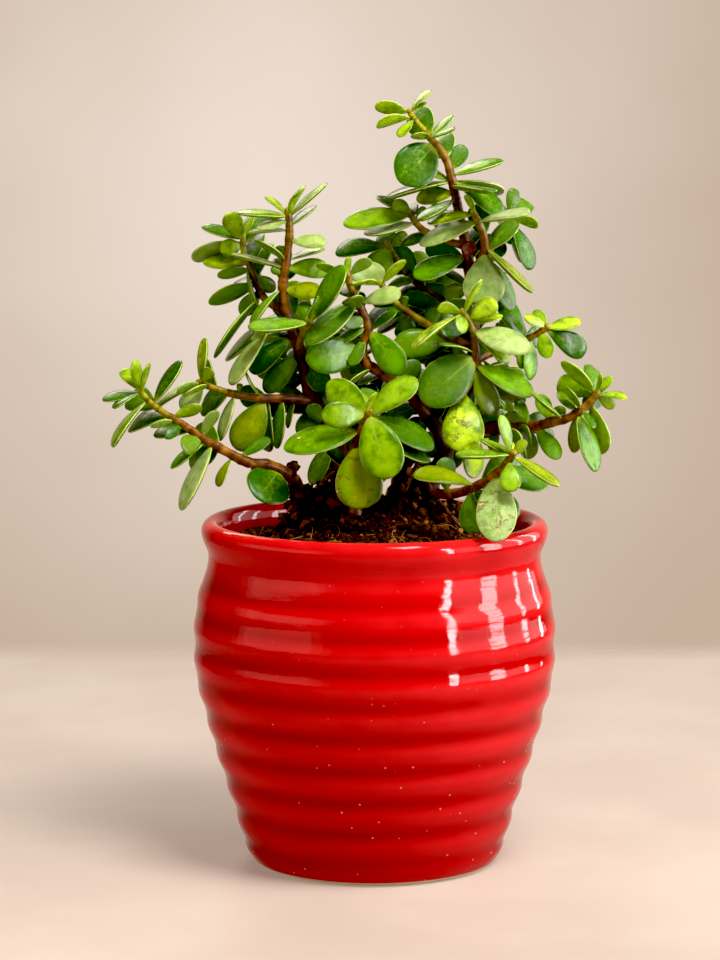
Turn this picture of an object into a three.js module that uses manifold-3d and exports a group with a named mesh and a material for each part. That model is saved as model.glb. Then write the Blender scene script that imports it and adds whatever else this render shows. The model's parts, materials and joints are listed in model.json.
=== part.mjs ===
// A jade plant in a glazed, ribbed pot. Millimetres, +Z up, origin at the middle of the pot's
// flat underside. +X is the viewer's right and +Y points away from the viewer.
//
// The plant is drawn as one eye sees it. Each stem and leaf is given by where it appears on the
// upright plane through the pot's axis, and is then slid along the line of sight to its real depth.
import * as THREE from "three";
import { mergeVertices } from "three/addons/utils/BufferGeometryUtils.js";
import Module from "manifold-3d";

const wasm = await Module();
wasm.setup();

// ---- Driving dimensions ----

const EYE = new THREE.Vector3(-5.6, -1200, 306);

const POT_HEIGHT = 133;
const FOOT_RADIUS = 46.2;
const FOOT_SHAPE = [[48.6, 2], [50.9, 5]]; // radius and height of the foot's rounded edge
const GROOVE_START = 8; // height of the lowest groove
const GROOVE_PITCH = 12.8;
const GROOVE_RADII = [50.5, 54.1, 58.1, 62.0, 65.5, 68.7, 69.4, 68.9, 66.0];
const RIB_BULGE = 1.6; // how far a rib stands out past the line between its grooves
const RIB_SHARES = [0.5];
const RIM_OUTSIDE = [[65.3, 115], [64.0, 119.5], [65.3, 123.6], [66.8, 128], [66, 131.6]];
const RIM_CREST_RADIUS = 62.9;
const WALL_INSIDE = [[60.2, 131.4], [58.9, 127], [58.6, 120], [60.2, 112], [63, 86], [57.2, 45], [46, 14]];
const FLOOR_RADIUS = 41;
const FLOOR_TOP = 8;
const POT_SEGMENTS = 30;

const GAP = 0.3; // between pieces that touch on the real plant
const SOIL_GAP = 0.5; // between the soil and the slanted wall
const SOIL_EDGE = 124; // height of the soil at the pot's wall
const SOIL_MOUNDS = [
  { x: 2, y: 4, rise: 15, reach: 50 },
  { x: -22, y: 6, rise: 6, reach: 17 },
];
const SOIL_RINGS = 7;
const SOIL_SEGMENTS = 22;
const HOLE_PLAY = 0.6; // how much wider than a stem its hole in the soil is

const STEM_SIDES = 6;
const RINGS_PER_STRETCH = 1; // rings of a stem between two points of its route
const SPOTS_PER_STRETCH = 6;
const END_SPOTS = 2; // no leaf is rooted in a stem's very end
const ROOT_OUT = 0.45; // how far out a leaf starts, as a share of the stem's radius
const TAPER = 0.8;

const SLENDER = 0.5; // a leaf is at least this share of its length wide
const LEAF_THICKNESS = 0.115; // as a share of the leaf's length
const LEAF_THINNEST = 1.0;
const LEAF_THICKEST = 2.9;
const LEAF_BOW = 0.06; // rise of the blade's middle over its chord, as a share of the length
const LEAF_CUP = 0.1; // rise of the blade's edges, as a share of its half width
const LEAF_SIDES = 4;
const LEAF_RINGS = 4;
const TALL_PART_OF_UP = 0.4; // how much a leaf's upper face turns to the sky, the rest to the tip

const SPOT_PITCH = 2.6; // spacing of the spots that stand for a blade when it is kept clear
const SPOT_PLAY = 0.8;
const DEPTH_TRIES = [0, 3, -3, 6, -6, 9, -9, 12, -12, 16, -16];
const EXTRA_TRIES = 14;
const EXTRA_LENGTHS = [13, 22];
const EXTRA_LEAN = [0.85, 1.3]; // angle between an unseen leaf and its stem, in radians
const EXTRA_WIDTH = 0.56;
const COVER_REACH = 8; // an unseen leaf keeps this near to something in front of it
const SEED = 4711;

// ---- The plant ----
// A route is a list of [x, z, depth]. A leaf is [base x, base z, tip x, tip z, seen width,
// how much deeper its tip lies than its base]. A stem without a parent stands in the soil.

const STEMS = {
  right_leader: {
    thick: [4.3, 1.0],
    stump: { x: 36, z: 237, radius: 2.8, reach: 6 },
    route: [
      [19, 104, 6], [19, 124, 6], [19.5, 139, 6], [23, 150, 5], [27, 158, 4], [31, 170, 6],
      [35, 182, 8], [38, 194, 9], [38, 206, 10], [37, 220, 11], [35.5, 234, 10], [33, 246, 10],
      [30.5, 258, 9], [27, 271, 8], [21, 279, 8], [15, 286, 8], [12.5, 290, 8],
    ],
    leaves: [
      [12, 290, 0, 291, 5.5, -2], [14, 286, 0.5, 284, 5, -6], [13, 290, 21, 297, 3, 2],
      [14, 289, 20, 292, 2.5, -4], [15, 286, 9.5, 279.5, 4, -8], [21, 279, 30, 287.5, 3.5, 3],
      [21, 279, 14, 280, 3.5, -8], [22, 279, 30, 282, 3, -8], [23, 276, 9.5, 262, 17, -9],
      [29, 266, 34, 276, 7, 5], [29, 264, 49, 270.5, 5, 2], [30, 263, 49, 250, 8, -5],
      [30, 262, 15, 268, 4, 5], [30, 260, 44, 258, 3.5, -9], [29, 262, 4, 256, 4.5, -3],
      [30, 259, 16, 256, 7, 5], [31, 256, 17, 247, 5, -5], [35, 234, 15, 226, 9, -8],
      [24, 151, 14.5, 159, 6, 7], [38, 209, 24, 206, 8, 8], [37, 222, 26, 219, 7, 5],
      [36, 229, 20, 238, 9, 8],
    ],
    extra: 8,
  },
  left_leader: {
    thick: [4.4, 1.3],
    route: [
      [-14, 104, 9], [-14, 124, 9], [-14, 141, 9], [-13, 151, 8], [-14, 160, 8], [-18, 170, 9],
      [-24, 180, 9], [-27, 192, 8], [-31, 205, 7], [-34, 214, 6], [-35, 223, 5], [-34, 231, 5],
      [-32.5, 242, 5], [-33, 253, 5],
    ],
    leaves: [
      [-32, 252, -18, 262, 3.5, 4], [-33, 253, -27.5, 260.5, 4, -2], [-33, 253, -41.5, 257, 3, 3],
      [-33, 250, -52.5, 250.5, 4, -3], [-33, 249, -43, 248.5, 3, -8], [-33, 247, -45, 244.5, 4, -5],
      [-33, 243, -48.5, 243, 3, 4], [-33, 241, -18.5, 239, 6, -6], [-33, 233, -19, 237, 3.5, 3],
      [-34, 230, -17, 229, 8, 5], [-34, 230, -55, 235, 3, 2], [-35, 221, -47.5, 208, 4, -6],
      [-35, 221, -20, 220, 7, -7], [-34, 227, -39.5, 229.5, 3, -3], [-31, 203.5, -48, 190, 9, -2],
      [-27.5, 195.5, -42, 182, 9, -10], [-15, 160, -21, 145, 5, 5], [-18, 169, -25.5, 177, 6, -4],
      [-27, 191, -18, 183, 9, 8], [-22, 176, -11, 183, 9, 7],
    ],
    extra: 8,
  },
  left_low_branch: {
    thick: [3.2, 1.1],
    route: [
      [-28, 104, -2], [-28, 124, -2], [-28.5, 141, -2], [-32, 149, -4], [-40, 153.5, -7],
      [-49, 155, -10], [-57, 159, -11], [-65, 163.5, -12], [-73, 169, -12], [-80, 173.5, -12],
      [-86, 178, -12], [-91, 184, -12],
    ],
    leaves: [
      [-91, 184, -104.5, 179, 4.5, 0], [-91, 184, -96.5, 191, 6, 4], [-91, 184, -92, 194.5, 5, -3],
      [-90, 183, -86.5, 193, 3.5, 3], [-90, 182, -100.5, 176, 3, -6], [-85, 177, -73.5, 194, 5.5, 4],
      [-87, 178, -101.5, 161, 4.5, -3], [-77, 172, -66, 176, 5, 5], [-77, 171, -86, 168.5, 3, -5],
      [-74, 170, -80.5, 164, 4.5, -6], [-66, 164, -60.5, 175, 5, -4], [-66, 164, -74, 160.5, 8, -10],
      [-65, 163, -78.5, 152.5, 4.5, 0], [-62, 161, -71, 153, 6, 6], [-62, 161, -74.5, 136, 7, -4],
      [-60, 160, -66, 154, 4, 4], [-54, 157, -60.5, 145.5, 4, -4], [-37, 152, -44.5, 140, 18, -15],
    ],
    extra: 7,
  },
  front_rosette: {
    thick: [2.6, 1.4],
    route: [
      [-7, 104, -12], [-7, 122, -12], [-7.5, 138, -12], [-9, 150, -14], [-8, 160, -18],
      [-5, 168, -21], [-1.5, 176, -24],
    ],
    leaves: [
      [-1.5, 177, -18, 186, 11.5, 4], [-1.5, 176, 16.5, 187, 10, 2], [-2, 176, -20.5, 173, 10, -6],
      [-2, 174, 6, 148.5, 16.5, -9], [-3, 172, 23, 161, 10, 5], [-7.5, 161, -5, 136.5, 18, -8],
      [-6, 167, -35, 160, 11, -4], [-1.5, 176, 0.5, 182, 3, -5], [-1.5, 176, -4, 181, 3, -4],
    ],
    extra: 3,
  },
  left_upper_branch: {
    from: "left_leader",
    thick: [2.1, 1.1],
    route: [
      [-23, 179, 9], [-32, 179.5, 4], [-42, 179.5, 0], [-50, 180.5, -2], [-57, 182, -3],
      [-63, 184, -3], [-68.5, 186.5, -3],
    ],
    leaves: [
      [-68, 186, -64.5, 203, 4.5, 3], [-68, 186, -76, 182, 4, -6], [-68, 186, -85, 176, 4.5, 2],
      [-68, 186, -62.5, 191, 5, -5], [-66, 185, -74, 175, 7.5, -6], [-64, 184, -73, 181, 3, -9],
      [-54, 181, -59.5, 163, 5, -3], [-42, 179, -53, 159.5, 13, -6], [-53, 181, -51.5, 185.5, 2.5, -2],
      [-33, 179, -40, 173, 7, 4], [-30, 179, -33.5, 168, 3, -3], [-36, 179, -37.5, 160, 6, 9],
      [-26, 179, -38, 184, 5, 9],
    ],
    extra: 4,
  },
  left_side_twig: {
    from: "left_leader",
    thick: [1.5, 1.0],
    route: [[-32, 208, 7], [-37, 207, 3], [-43, 205, 0]],
    leaves: [
      [-42, 205, -55, 184.5, 7, -5], [-42, 205, -56, 196, 7, 6], [-41, 205, -47, 203, 4, -8],
    ],
    extra: 2,
  },
  left_front_shoot: {
    from: "left_leader",
    thick: [1.6, 1.1],
    route: [[-29.5, 199, 7], [-28, 203, 0], [-25, 208.5, -6], [-24, 212, -8]],
    leaves: [
      [-25, 208.5, -48.5, 206, 6.5, -4], [-25, 209, -10.5, 230, 9, -7], [-25, 209, -28, 217, 6, 6],
      [-24, 212, -22, 217, 3, -3],
    ],
    extra: 1,
  },
  left_rear_twig: {
    from: "left_leader",
    thick: [1.7, 1.1],
    route: [
      [-34, 213, 6], [-40, 216, 10], [-44, 221, 13], [-47, 229, 14], [-50, 236, 15], [-50, 243, 15],
    ],
    leaves: [
      [-50, 243, -66, 245.5, 5, 3], [-50, 243, -56, 250.5, 8, 7], [-50, 243, -46, 250, 3, 4],
      [-50, 238, -59, 236.5, 7, -5], [-50, 240, -69.5, 233, 7, 0], [-48, 231, -65.5, 232, 6.5, 5],
      [-47, 229, -60, 226.5, 5, -4], [-48, 232, -45, 214, 3, -5], [-45, 224, -63.5, 216, 7, 0],
      [-44, 221, -51, 211.5, 7, 6], [-43, 219, -61.5, 195, 4, -2], [-46, 226, -38, 221, 6, 4],
    ],
    extra: 5,
  },
  centre_shoot: {
    from: "right_leader",
    thick: [2.7, 1.3],
    route: [
      [27, 158, 4], [24, 167, 1], [17, 177, -1], [10, 184, -1], [3, 189, 0], [-4, 194, 1],
      [-4.5, 200, 2], [-2.5, 207, 2], [-6, 216, 2], [-9, 222, 2], [-11, 229, 2],
    ],
    leaves: [
      [-11, 229, -22.5, 231, 4, -2], [-10, 227, -25.5, 224, 5, -5], [-11, 229, -1.5, 233, 5, -4],
      [-10, 227, 4, 228, 9, 4], [-11, 229, -10, 234, 3, -1], [-6, 216, 10, 220, 7, -5],
      [-7, 217, -27, 200, 10, -3], [-4.5, 198, -26.5, 194.5, 14, -9], [-2.5, 206, 11, 189, 11, -8],
      [-3, 206, 8.5, 213.5, 4.5, 4], [-4, 201, -15, 201.5, 5, 6],
      [17, 177, 5, 172, 8, 8],
    ],
    extra: 6,
  },
  centre_twig: {
    from: "right_leader",
    thick: [1.6, 1.1],
    route: [[37.5, 199, 10], [28, 203, 9], [21, 207.5, 8], [14, 212, 7], [8.5, 216, 6], [4, 221, 5], [2, 225, 5]],
    leaves: [
      [2, 225, 12, 232.5, 4, -3], [3, 223, -8, 224, 3.5, -3], [11, 214, 11.5, 219, 3, -3],
      [28, 203, 7, 199, 12, -6], [22, 207, 22, 216, 6, 6], [14, 212, 9, 203, 5, 6],
      [14, 211, 2, 207, 8, 7],
    ],
    extra: 3,
  },
  right_front_crown: {
    from: "right_leader",
    thick: [2.3, 1.2],
    route: [
      [30, 171, 6], [32.5, 178, 1], [35, 185, -2], [38.5, 194, -3], [38, 203, -4], [36, 209, -6],
      [33, 214, -8],
    ],
    leaves: [
      [33, 213.5, 24, 215, 5, -5], [33, 213.5, 41, 225, 3.5, -6], [34, 212, 14, 199, 4.5, -8],
      [36, 209, 31, 207.5, 7, -9], [36, 210, 46.5, 217, 8, -3], [37, 208, 49, 211.5, 4, 3],
      [38, 205, 60, 198, 10, -6], [38, 203, 52, 194, 6, -1], [38, 195, 18, 178, 18, -9],
      [38.5, 193, 60.5, 180.5, 9, -8], [38, 191, 46, 173, 9, -1], [34, 182, 34, 159, 16, -7],
      [37, 189, 57, 177, 8, 6],
    ],
    extra: 4,
  },
  right_branch: {
    from: "right_leader",
    thick: [2.8, 1.4],
    route: [
      [28, 161, 4], [37, 167, 2], [46, 168, -2], [54, 168, -5], [62, 169, -7], [68, 170.5, -8],
      [74, 172, -9], [78.5, 174.5, -9], [82.5, 178, -9], [86, 183, -9],
    ],
    leaves: [
      [85, 182, 71.5, 193.5, 5.5, -4], [84, 180, 70, 186, 9, 3], [86, 183, 87, 189, 2.5, -3],
      [86, 183, 91, 188, 4, 2], [86, 183, 97, 180, 3.5, -1], [86, 182, 92, 176, 4.5, -3],
      [79, 175, 73, 184, 3, -7], [78, 174, 70, 182, 4.5, -1], [78, 174, 85, 151, 8, -7],
      [77, 173.5, 76, 158.5, 6, 3], [82, 178, 87, 158, 9, 4], [80, 176, 84, 168, 3.5, -9],
      [60, 169, 50, 173, 6.5, 6], [66, 170, 73, 176, 5, 6], [68, 171, 63, 181, 6, 4],
      [60, 168.5, 59, 156, 7.5, 5], [62, 169, 71, 156, 7, -3], [64, 169, 69, 164, 3.5, 6],
      [48, 168, 44, 160, 4.5, 6], [72, 171.5, 60.5, 180.5, 3, -6], [60, 169, 54, 179, 5, -4],
      [38, 168, 37, 148.5, 8.5, -9],
    ],
    extra: 7,
  },
  right_front_rosette: {
    from: "right_leader",
    thick: [2.2, 1.4],
    route: [
      [20, 143, 6], [28, 142.5, -11], [34, 143.5, -24], [40, 146, -34], [46, 149.5, -41],
      [50.5, 154, -45], [54, 159.5, -48],
    ],
    leaves: [
      [53, 158, 48, 173, 5, -3], [54, 159.5, 58, 163.5, 4, -2], [53, 158, 31, 157, 4.5, -4],
      [53, 158, 71, 145, 5, -5], [52, 156, 52.5, 143.5, 8, -8], [52, 157, 41, 164, 4, 6],
      [50, 153, 44, 147.5, 4.5, 6], [47, 150.5, 47, 123.5, 15, -13], [37, 145, 38, 127.5, 10, -7],
      [39, 146, 15, 151, 7.5, 4], [50, 153, 55, 149, 4, -5], [54, 159.5, 52, 163.5, 3, -2],
    ],
    extra: 3,
  },
  right_middle_twig: {
    from: "right_leader",
    thick: [1.9, 1.3],
    route: [[37, 195, 9], [44, 197, 12], [51, 200, 13], [58, 202.5, 13], [63, 205, 13], [67, 208, 13]],
    leaves: [
      [66, 208, 61, 213.5, 5, 3], [67, 208, 79, 209, 5.5, 2], [65, 206, 81, 197, 9.5, -4],
      [64, 205, 66.5, 195, 6.5, -5], [66, 207, 57, 211, 4.5, -4], [57, 202, 48, 218, 8, 3],
      [54, 201, 48.5, 210, 4.5, 6], [59, 203, 59.5, 186.5, 6, -2], [55, 201, 57, 191, 4.5, -7],
    ],
    extra: 4,
  },
  top_right_crown: {
    from: "right_leader",
    thick: [2.0, 1.2],
    route: [[36, 228, 10], [41.5, 234.5, 6], [41.5, 242, 3], [39, 248, 1], [37, 252, 0]],
    leaves: [
      [37, 251, 46, 257, 3, -2], [38, 250, 20, 247, 5.5, -4], [39, 247, 17, 238.5, 7.5, -9],
      [40, 247, 58, 250, 5, -5], [37, 252, 34.5, 257.5, 3, -3], [40, 236, 41.5, 215.5, 16, -9],
      [41, 237, 60, 219.5, 4.5, -2],
    ],
    extra: 2,
  },
  top_right_twig: {
    from: "right_leader",
    thick: [1.6, 1.1],
    route: [[37, 221, 11], [41, 230, 14], [45.5, 239, 15], [49, 245, 15], [53, 250.5, 15]],
    leaves: [
      [53, 250, 53, 260, 5.5, 2], [53, 250, 62.5, 246, 4.5, -3], [51, 248, 60, 229, 7, -3],
      [48, 243, 54, 240, 5, -4], [50, 247, 54.5, 233, 3.5, 5], [42, 233, 52.5, 213, 8, -2],
    ],
    extra: 3,
  },
  top_left_crown: {
    from: "right_leader",
    thick: [1.7, 1.1],
    route: [[34, 239, 10], [27, 240, 13], [20, 243, 14], [15.5, 247, 14], [13, 252, 14]],
    leaves: [
      [15, 247, -4, 242, 5.5, -4], [13, 251, -12, 246, 9, 3], [13, 252, 1, 257, 5, 3],
      [13, 252, 7, 255, 6, -6], [16, 247, 19, 253, 3.5, -4], [21, 242, 10, 239, 5, 6],
      [27, 240, 24, 234, 4, -4],
    ],
    extra: 3,
  },
  centre_rear_shoot: {
    from: "right_leader",
    thick: [1.9, 1.1],
    route: [[37.5, 210, 10], [27, 215, 18], [17, 223, 22], [9, 232, 24], [4, 240, 24]],
    leaves: [
      [6, 237, -1, 226, 11, -6], [4, 240, -15, 236.5, 8, 2], [27, 215, 11, 218.5, 7, -5],
      [17, 223, 28, 219, 7, -5], [9, 232, 18, 229, 7, 5], [5, 239, 12, 243, 5, 6],
      [15, 225, 8, 238, 9, 5],
    ],
    extra: 5,
  },
  left_back_shoot: {
    from: "left_leader",
    thick: [1.9, 1.1],
    route: [[-25, 183, 9], [-27, 191, 24], [-28, 200, 38], [-27, 210, 50]],
    leaves: [],
    extra: 9,
  },
  middle_back_shoot: {
    from: "right_leader",
    thick: [2.0, 1.1],
    route: [[37, 189, 9], [30, 199, 24], [23, 210, 38], [18, 221, 50]],
    leaves: [],
    extra: 9,
  },
  right_back_shoot: {
    from: "right_leader",
    thick: [2.0, 1.1],
    route: [[29, 164, 5], [33, 170, 20], [38, 178, 35], [43, 188, 48]],
    leaves: [],
    extra: 9,
  },
  low_back_shoot: {
    from: "left_leader",
    thick: [2.0, 1.1],
    route: [[-16, 165, 8], [-12, 168, 22], [-5, 174, 36], [2, 182, 48]],
    leaves: [],
    extra: 9,
  },
};

// ---- Colours, roughness ----

const POT_FINISH = { color: 0xc4120f, roughness: 0.18, metalness: 0 };
const SOIL_FINISH = { color: 0x2b1d14, roughness: 0.95, metalness: 0 };
const LEAF_FINISH = { color: 0x5d9421, roughness: 0.4, metalness: 0 };

// ---- Small tools ----

const UP = new THREE.Vector3(0, 0, 1);
const AWAY = new THREE.Vector3(0, 1, 0);

let drawn = SEED;
function draw(low, high) {
  drawn = (drawn * 16807) % 2147483647;
  return low + ((high - low) * drawn) / 2147483647;
}

// From a place on the upright plane through the axis to the real point at that depth.
function slide(x, z, depth) {
  const share = (depth - EYE.y) / -EYE.y;
  return new THREE.Vector3(EYE.x + (x - EYE.x) * share, depth, EYE.z + (z - EYE.z) * share);
}

// The way back: where a real point appears on that plane.
function seen(point) {
  const share = -EYE.y / (point.y - EYE.y);
  return [EYE.x + (point.x - EYE.x) * share, EYE.z + (point.z - EYE.z) * share];
}

// The spot that appears nearest to a place on the plane.
function nearest(spots, x, z) {
  const off = (spot) => Math.hypot(seen(spot.point)[0] - x, seen(spot.point)[1] - z);
  return spots.reduce((best, spot) => (off(spot) < off(best) ? spot : best));
}

function across(vector, axis) {
  return vector.clone().addScaledVector(axis, -vector.dot(axis)).normalize();
}

function solidOf(geometry) {
  geometry.deleteAttribute("normal");
  geometry.deleteAttribute("uv");
  const merged = mergeVertices(geometry, 1e-4);
  return new wasm.Manifold(
    new wasm.Mesh({
      numProp: 3,
      vertProperties: merged.attributes.position.array,
      triVerts: new Uint32Array(merged.index.array),
    }),
  );
}

function geometryOf(solid) {
  const mesh = solid.getMesh();
  return new THREE.BufferGeometry()
    .setAttribute("position", new THREE.BufferAttribute(mesh.vertProperties, 3))
    .setIndex(new THREE.BufferAttribute(mesh.triVerts, 1));
}

// The body that is left when the loose scraps of a cut are dropped.
function largest(solid) {
  return solid.decompose().sort((a, b) => b.volume() - a.volume())[0];
}

function meshOf(name, solid, finish) {
  const geometry = geometryOf(solid);
  geometry.computeVertexNormals();
  const mesh = new THREE.Mesh(geometry, new THREE.MeshStandardMaterial(finish));
  mesh.name = name;
  return mesh;
}

// A profile of [radius, height] turned about +Z.
function turned(profile, segments) {
  const points = profile.map(([radius, height]) => new THREE.Vector2(radius, height));
  return new THREE.LatheGeometry(points, segments).rotateX(Math.PI / 2);
}

// ---- Pot and soil ----

function ribs() {
  const points = [];
  GROOVE_RADII.forEach((radius, i) => {
    const height = GROOVE_START + GROOVE_PITCH * i;
    points.push([radius, height]);
    const next = GROOVE_RADII[i + 1];
    if (next === undefined) return;
    for (const share of RIB_SHARES) {
      const line = radius + (next - radius) * share;
      points.push([line + RIB_BULGE, height + GROOVE_PITCH * share]);
    }
  });
  return points;
}

function pot() {
  const profile = [
    [0, 0], [FOOT_RADIUS, 0], ...FOOT_SHAPE, ...ribs(), ...RIM_OUTSIDE,
    [RIM_CREST_RADIUS, POT_HEIGHT], ...WALL_INSIDE, [FLOOR_RADIUS, FLOOR_TOP], [0, FLOOR_TOP],
  ];
  return solidOf(turned(profile, POT_SEGMENTS));
}

function soilHeight(x, y) {
  let height = SOIL_EDGE;
  for (const mound of SOIL_MOUNDS) {
    const share = Math.min(1, Math.hypot(x - mound.x, y - mound.y) / mound.reach);
    height += mound.rise * (0.5 + 0.5 * Math.cos(Math.PI * share));
  }
  return height + 0.7 * Math.sin(x * 0.45) * Math.sin(y * 0.4 + 1);
}

function soil(feet) {
  const wall = WALL_INSIDE.filter(([, height]) => height < SOIL_EDGE)
    .map(([radius, height]) => [radius - SOIL_GAP, height]).reverse();
  const edge = wall[wall.length - 1][0];
  const top = [];
  for (let ring = 0; ring <= SOIL_RINGS; ring++) top.push([edge * (1 - ring / SOIL_RINGS), SOIL_EDGE]);
  const under = FLOOR_TOP + GAP;
  const geometry = turned(
    [[0, under], [FLOOR_RADIUS - SOIL_GAP, under], ...wall, ...top], SOIL_SEGMENTS);
  const place = geometry.attributes.position;
  for (let i = 0; i < place.count; i++)
    if (place.getZ(i) >= SOIL_EDGE) place.setZ(i, soilHeight(place.getX(i), place.getY(i)));
  let body = solidOf(geometry);
  for (const foot of feet) body = body.subtract(hole(foot));
  return largest(body);
}

// A plain hole for the foot of a stem.
function hole({ x, y, z, radius }) {
  const bottom = z - GAP;
  const height = POT_HEIGHT + 30 - bottom;
  const wide = radius + HOLE_PLAY;
  const geometry = new THREE.CylinderGeometry(wide, wide, height, 12)
    .rotateX(Math.PI / 2).translate(x, y, bottom + height / 2);
  return solidOf(geometry);
}

// ---- Stems ----

function thickness(stem, share) {
  const [start, end] = stem.thick;
  return start + (end - start) * share ** TAPER;
}

// Fills in a stem's curve and the spots along it. Its first point is moved onto its parent.
function lay(name) {
  const stem = STEMS[name];
  const points = stem.route.map(([x, z, depth]) => slide(x, z, depth));
  if (stem.from) {
    const near = STEMS[stem.from].spots.map((spot) => spot.point);
    near.sort((a, b) => a.distanceTo(points[0]) - b.distanceTo(points[0]));
    points[0] = near[0].clone();
  }
  stem.curve = new THREE.CatmullRomCurve3(points, false, "catmullrom", 0.5);
  stem.spots = [];
  const count = (points.length - 1) * SPOTS_PER_STRETCH;
  for (let i = 0; i <= count; i++) {
    const share = i / count;
    stem.spots.push({ point: stem.curve.getPoint(share), radius: thickness(stem, share), share, stem: name });
  }
}

// A tapering tube with flat ends along the stem's curve.
function tube(stem, extra = 0) {
  const rings = (stem.route.length - 1) * RINGS_PER_STRETCH;
  const geometry = new THREE.CylinderGeometry(1, 1, 1, STEM_SIDES, rings);
  const place = geometry.attributes.position;
  for (let i = 0; i < place.count; i++) {
    const share = Math.round((place.getY(i) + 0.5) * rings) / rings;
    const along = stem.curve.getTangent(share);
    const side = along.clone().cross(AWAY).normalize();
    const front = side.clone().cross(along);
    const radius = thickness(stem, share) + extra;
    const point = stem.curve.getPoint(share)
      .addScaledVector(side, place.getX(i) * radius)
      .addScaledVector(front, place.getZ(i) * radius);
    place.setXYZ(i, point.x, point.y, point.z);
  }
  return solidOf(geometry);
}

// Where a branch was once cut off: a short blunt end that points at the viewer.
function stump(stem) {
  const { x, z, radius, reach } = stem.stump;
  const geometry = new THREE.CylinderGeometry(radius * 0.85, radius, reach, STEM_SIDES);
  const root = nearest(stem.spots, x, z);
  const end = slide(x, z, root.point.y - reach);
  geometry.rotateX(-Math.PI / 2).rotateX(Math.PI).translate(end.x, end.y + reach / 2, end.z);
  return solidOf(geometry);
}

// ---- Leaves ----

// Half width at a share of the length, 1 at its widest: narrow at the foot, blunt at the tip.
function outline(share) {
  return (share ** 0.9 * (1 - share) ** 0.45) / 0.4235;
}

function middle(leaf, share, aside) {
  const half = (leaf.width / 2) * outline(share);
  const rise = leaf.length * LEAF_BOW * 4 * share * (1 - share) + Math.abs(aside) * half * LEAF_CUP;
  return leaf.base.clone()
    .addScaledVector(leaf.axis, leaf.length * share)
    .addScaledVector(leaf.side, half * aside)
    .addScaledVector(leaf.normal, rise);
}

// The blade's upper face turns to the stem's tip and the sky. It is rolled about its length until
// its width looks as wide as it was seen.
function makeLeaf(stem, root, tip, seenWidth, along) {
  const base = root.point.clone()
    .addScaledVector(across(tip.clone().sub(root.point), along), root.radius * ROOT_OUT);
  const axis = tip.clone().sub(base);
  const length = axis.length();
  axis.normalize();
  const thick = THREE.MathUtils.clamp(length * LEAF_THICKNESS, LEAF_THINNEST, LEAF_THICKEST);
  const width = Math.max(seenWidth, SLENDER * length);
  const front = across(EYE.clone().sub(base), axis);
  const edge = axis.clone().cross(front);
  const turn = Math.acos(THREE.MathUtils.clamp((seenWidth - thick) / (width - thick), 0, 1));
  const natural = along.clone().multiplyScalar(1 - TALL_PART_OF_UP).addScaledVector(UP, TALL_PART_OF_UP);
  let normal = null;
  for (const [face, roll] of [[1, 1], [1, -1], [-1, 1], [-1, -1]]) {
    const option = front.clone().multiplyScalar(face * Math.cos(turn))
      .addScaledVector(edge, roll * Math.sin(turn));
    if (!normal || option.dot(natural) > normal.dot(natural)) normal = option;
  }
  const side = axis.clone().cross(normal);
  return { stem, base, axis, length, width, thick, normal, side };
}

// The spots that stand for a blade when it is kept clear of others.
function blade(leaf) {
  const spots = [];
  const rows = Math.ceil(leaf.length / SPOT_PITCH);
  for (let row = Math.ceil(rows * 0.3); row <= rows; row++) {
    const share = Math.min(row / rows, 0.97);
    const half = (leaf.width / 2) * outline(share);
    const columns = Math.max(1, Math.ceil((2 * half) / SPOT_PITCH));
    for (let column = 0; column <= columns; column++) {
      const aside = 0.9 * ((2 * column) / columns - 1);
      spots.push({ point: middle(leaf, share, aside), radius: leaf.thick / 2, stem: leaf.stem });
    }
  }
  return spots;
}

function inPot(spot) {
  const { x, y, z } = spot.point;
  const radius = Math.hypot(x, y);
  const low = z - spot.radius - SPOT_PLAY;
  if (radius < WALL_INSIDE[1][0] - 2) return low < soilHeight(x, y);
  return radius < RIM_OUTSIDE[3][0] + 2.5 && low < POT_HEIGHT;
}

function isClear(spots, others) {
  if (spots.some(inPot)) return false;
  const middleSpot = spots[spots.length >> 1].point;
  const reach = Math.max(...spots.map((spot) => spot.point.distanceTo(middleSpot))) + 9;
  const near = others.filter((other) => other.point.distanceTo(middleSpot) < reach);
  return !spots.some((spot) => near.some((other) =>
    spot.point.distanceTo(other.point) < spot.radius + other.radius + SPOT_PLAY));
}

// A leaf of the list above, bent nearer or deeper along the line of sight until it is clear.
function listedLeaf(name, row, taken) {
  const stem = STEMS[name];
  const [baseX, baseZ, tipX, tipZ, width, depth] = row;
  const root = nearest(stem.spots.slice(0, -END_SPOTS), baseX, baseZ);
  const along = stem.curve.getTangent(root.share);
  const options = DEPTH_TRIES.map((shift) => {
    const tip = slide(tipX, tipZ, root.point.y + depth + shift);
    return makeLeaf(name, root, tip, width, along);
  });
  const foreign = taken.filter((spot) => spot.stem !== name);
  const own = taken.filter((spot) => spot.stem === name && !spot.share);
  const both = foreign.concat(own);
  return options.find((leaf) => isClear(blade(leaf), both))
    ?? options.find((leaf) => isClear(blade(leaf), foreign))
    ?? null;
}

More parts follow.
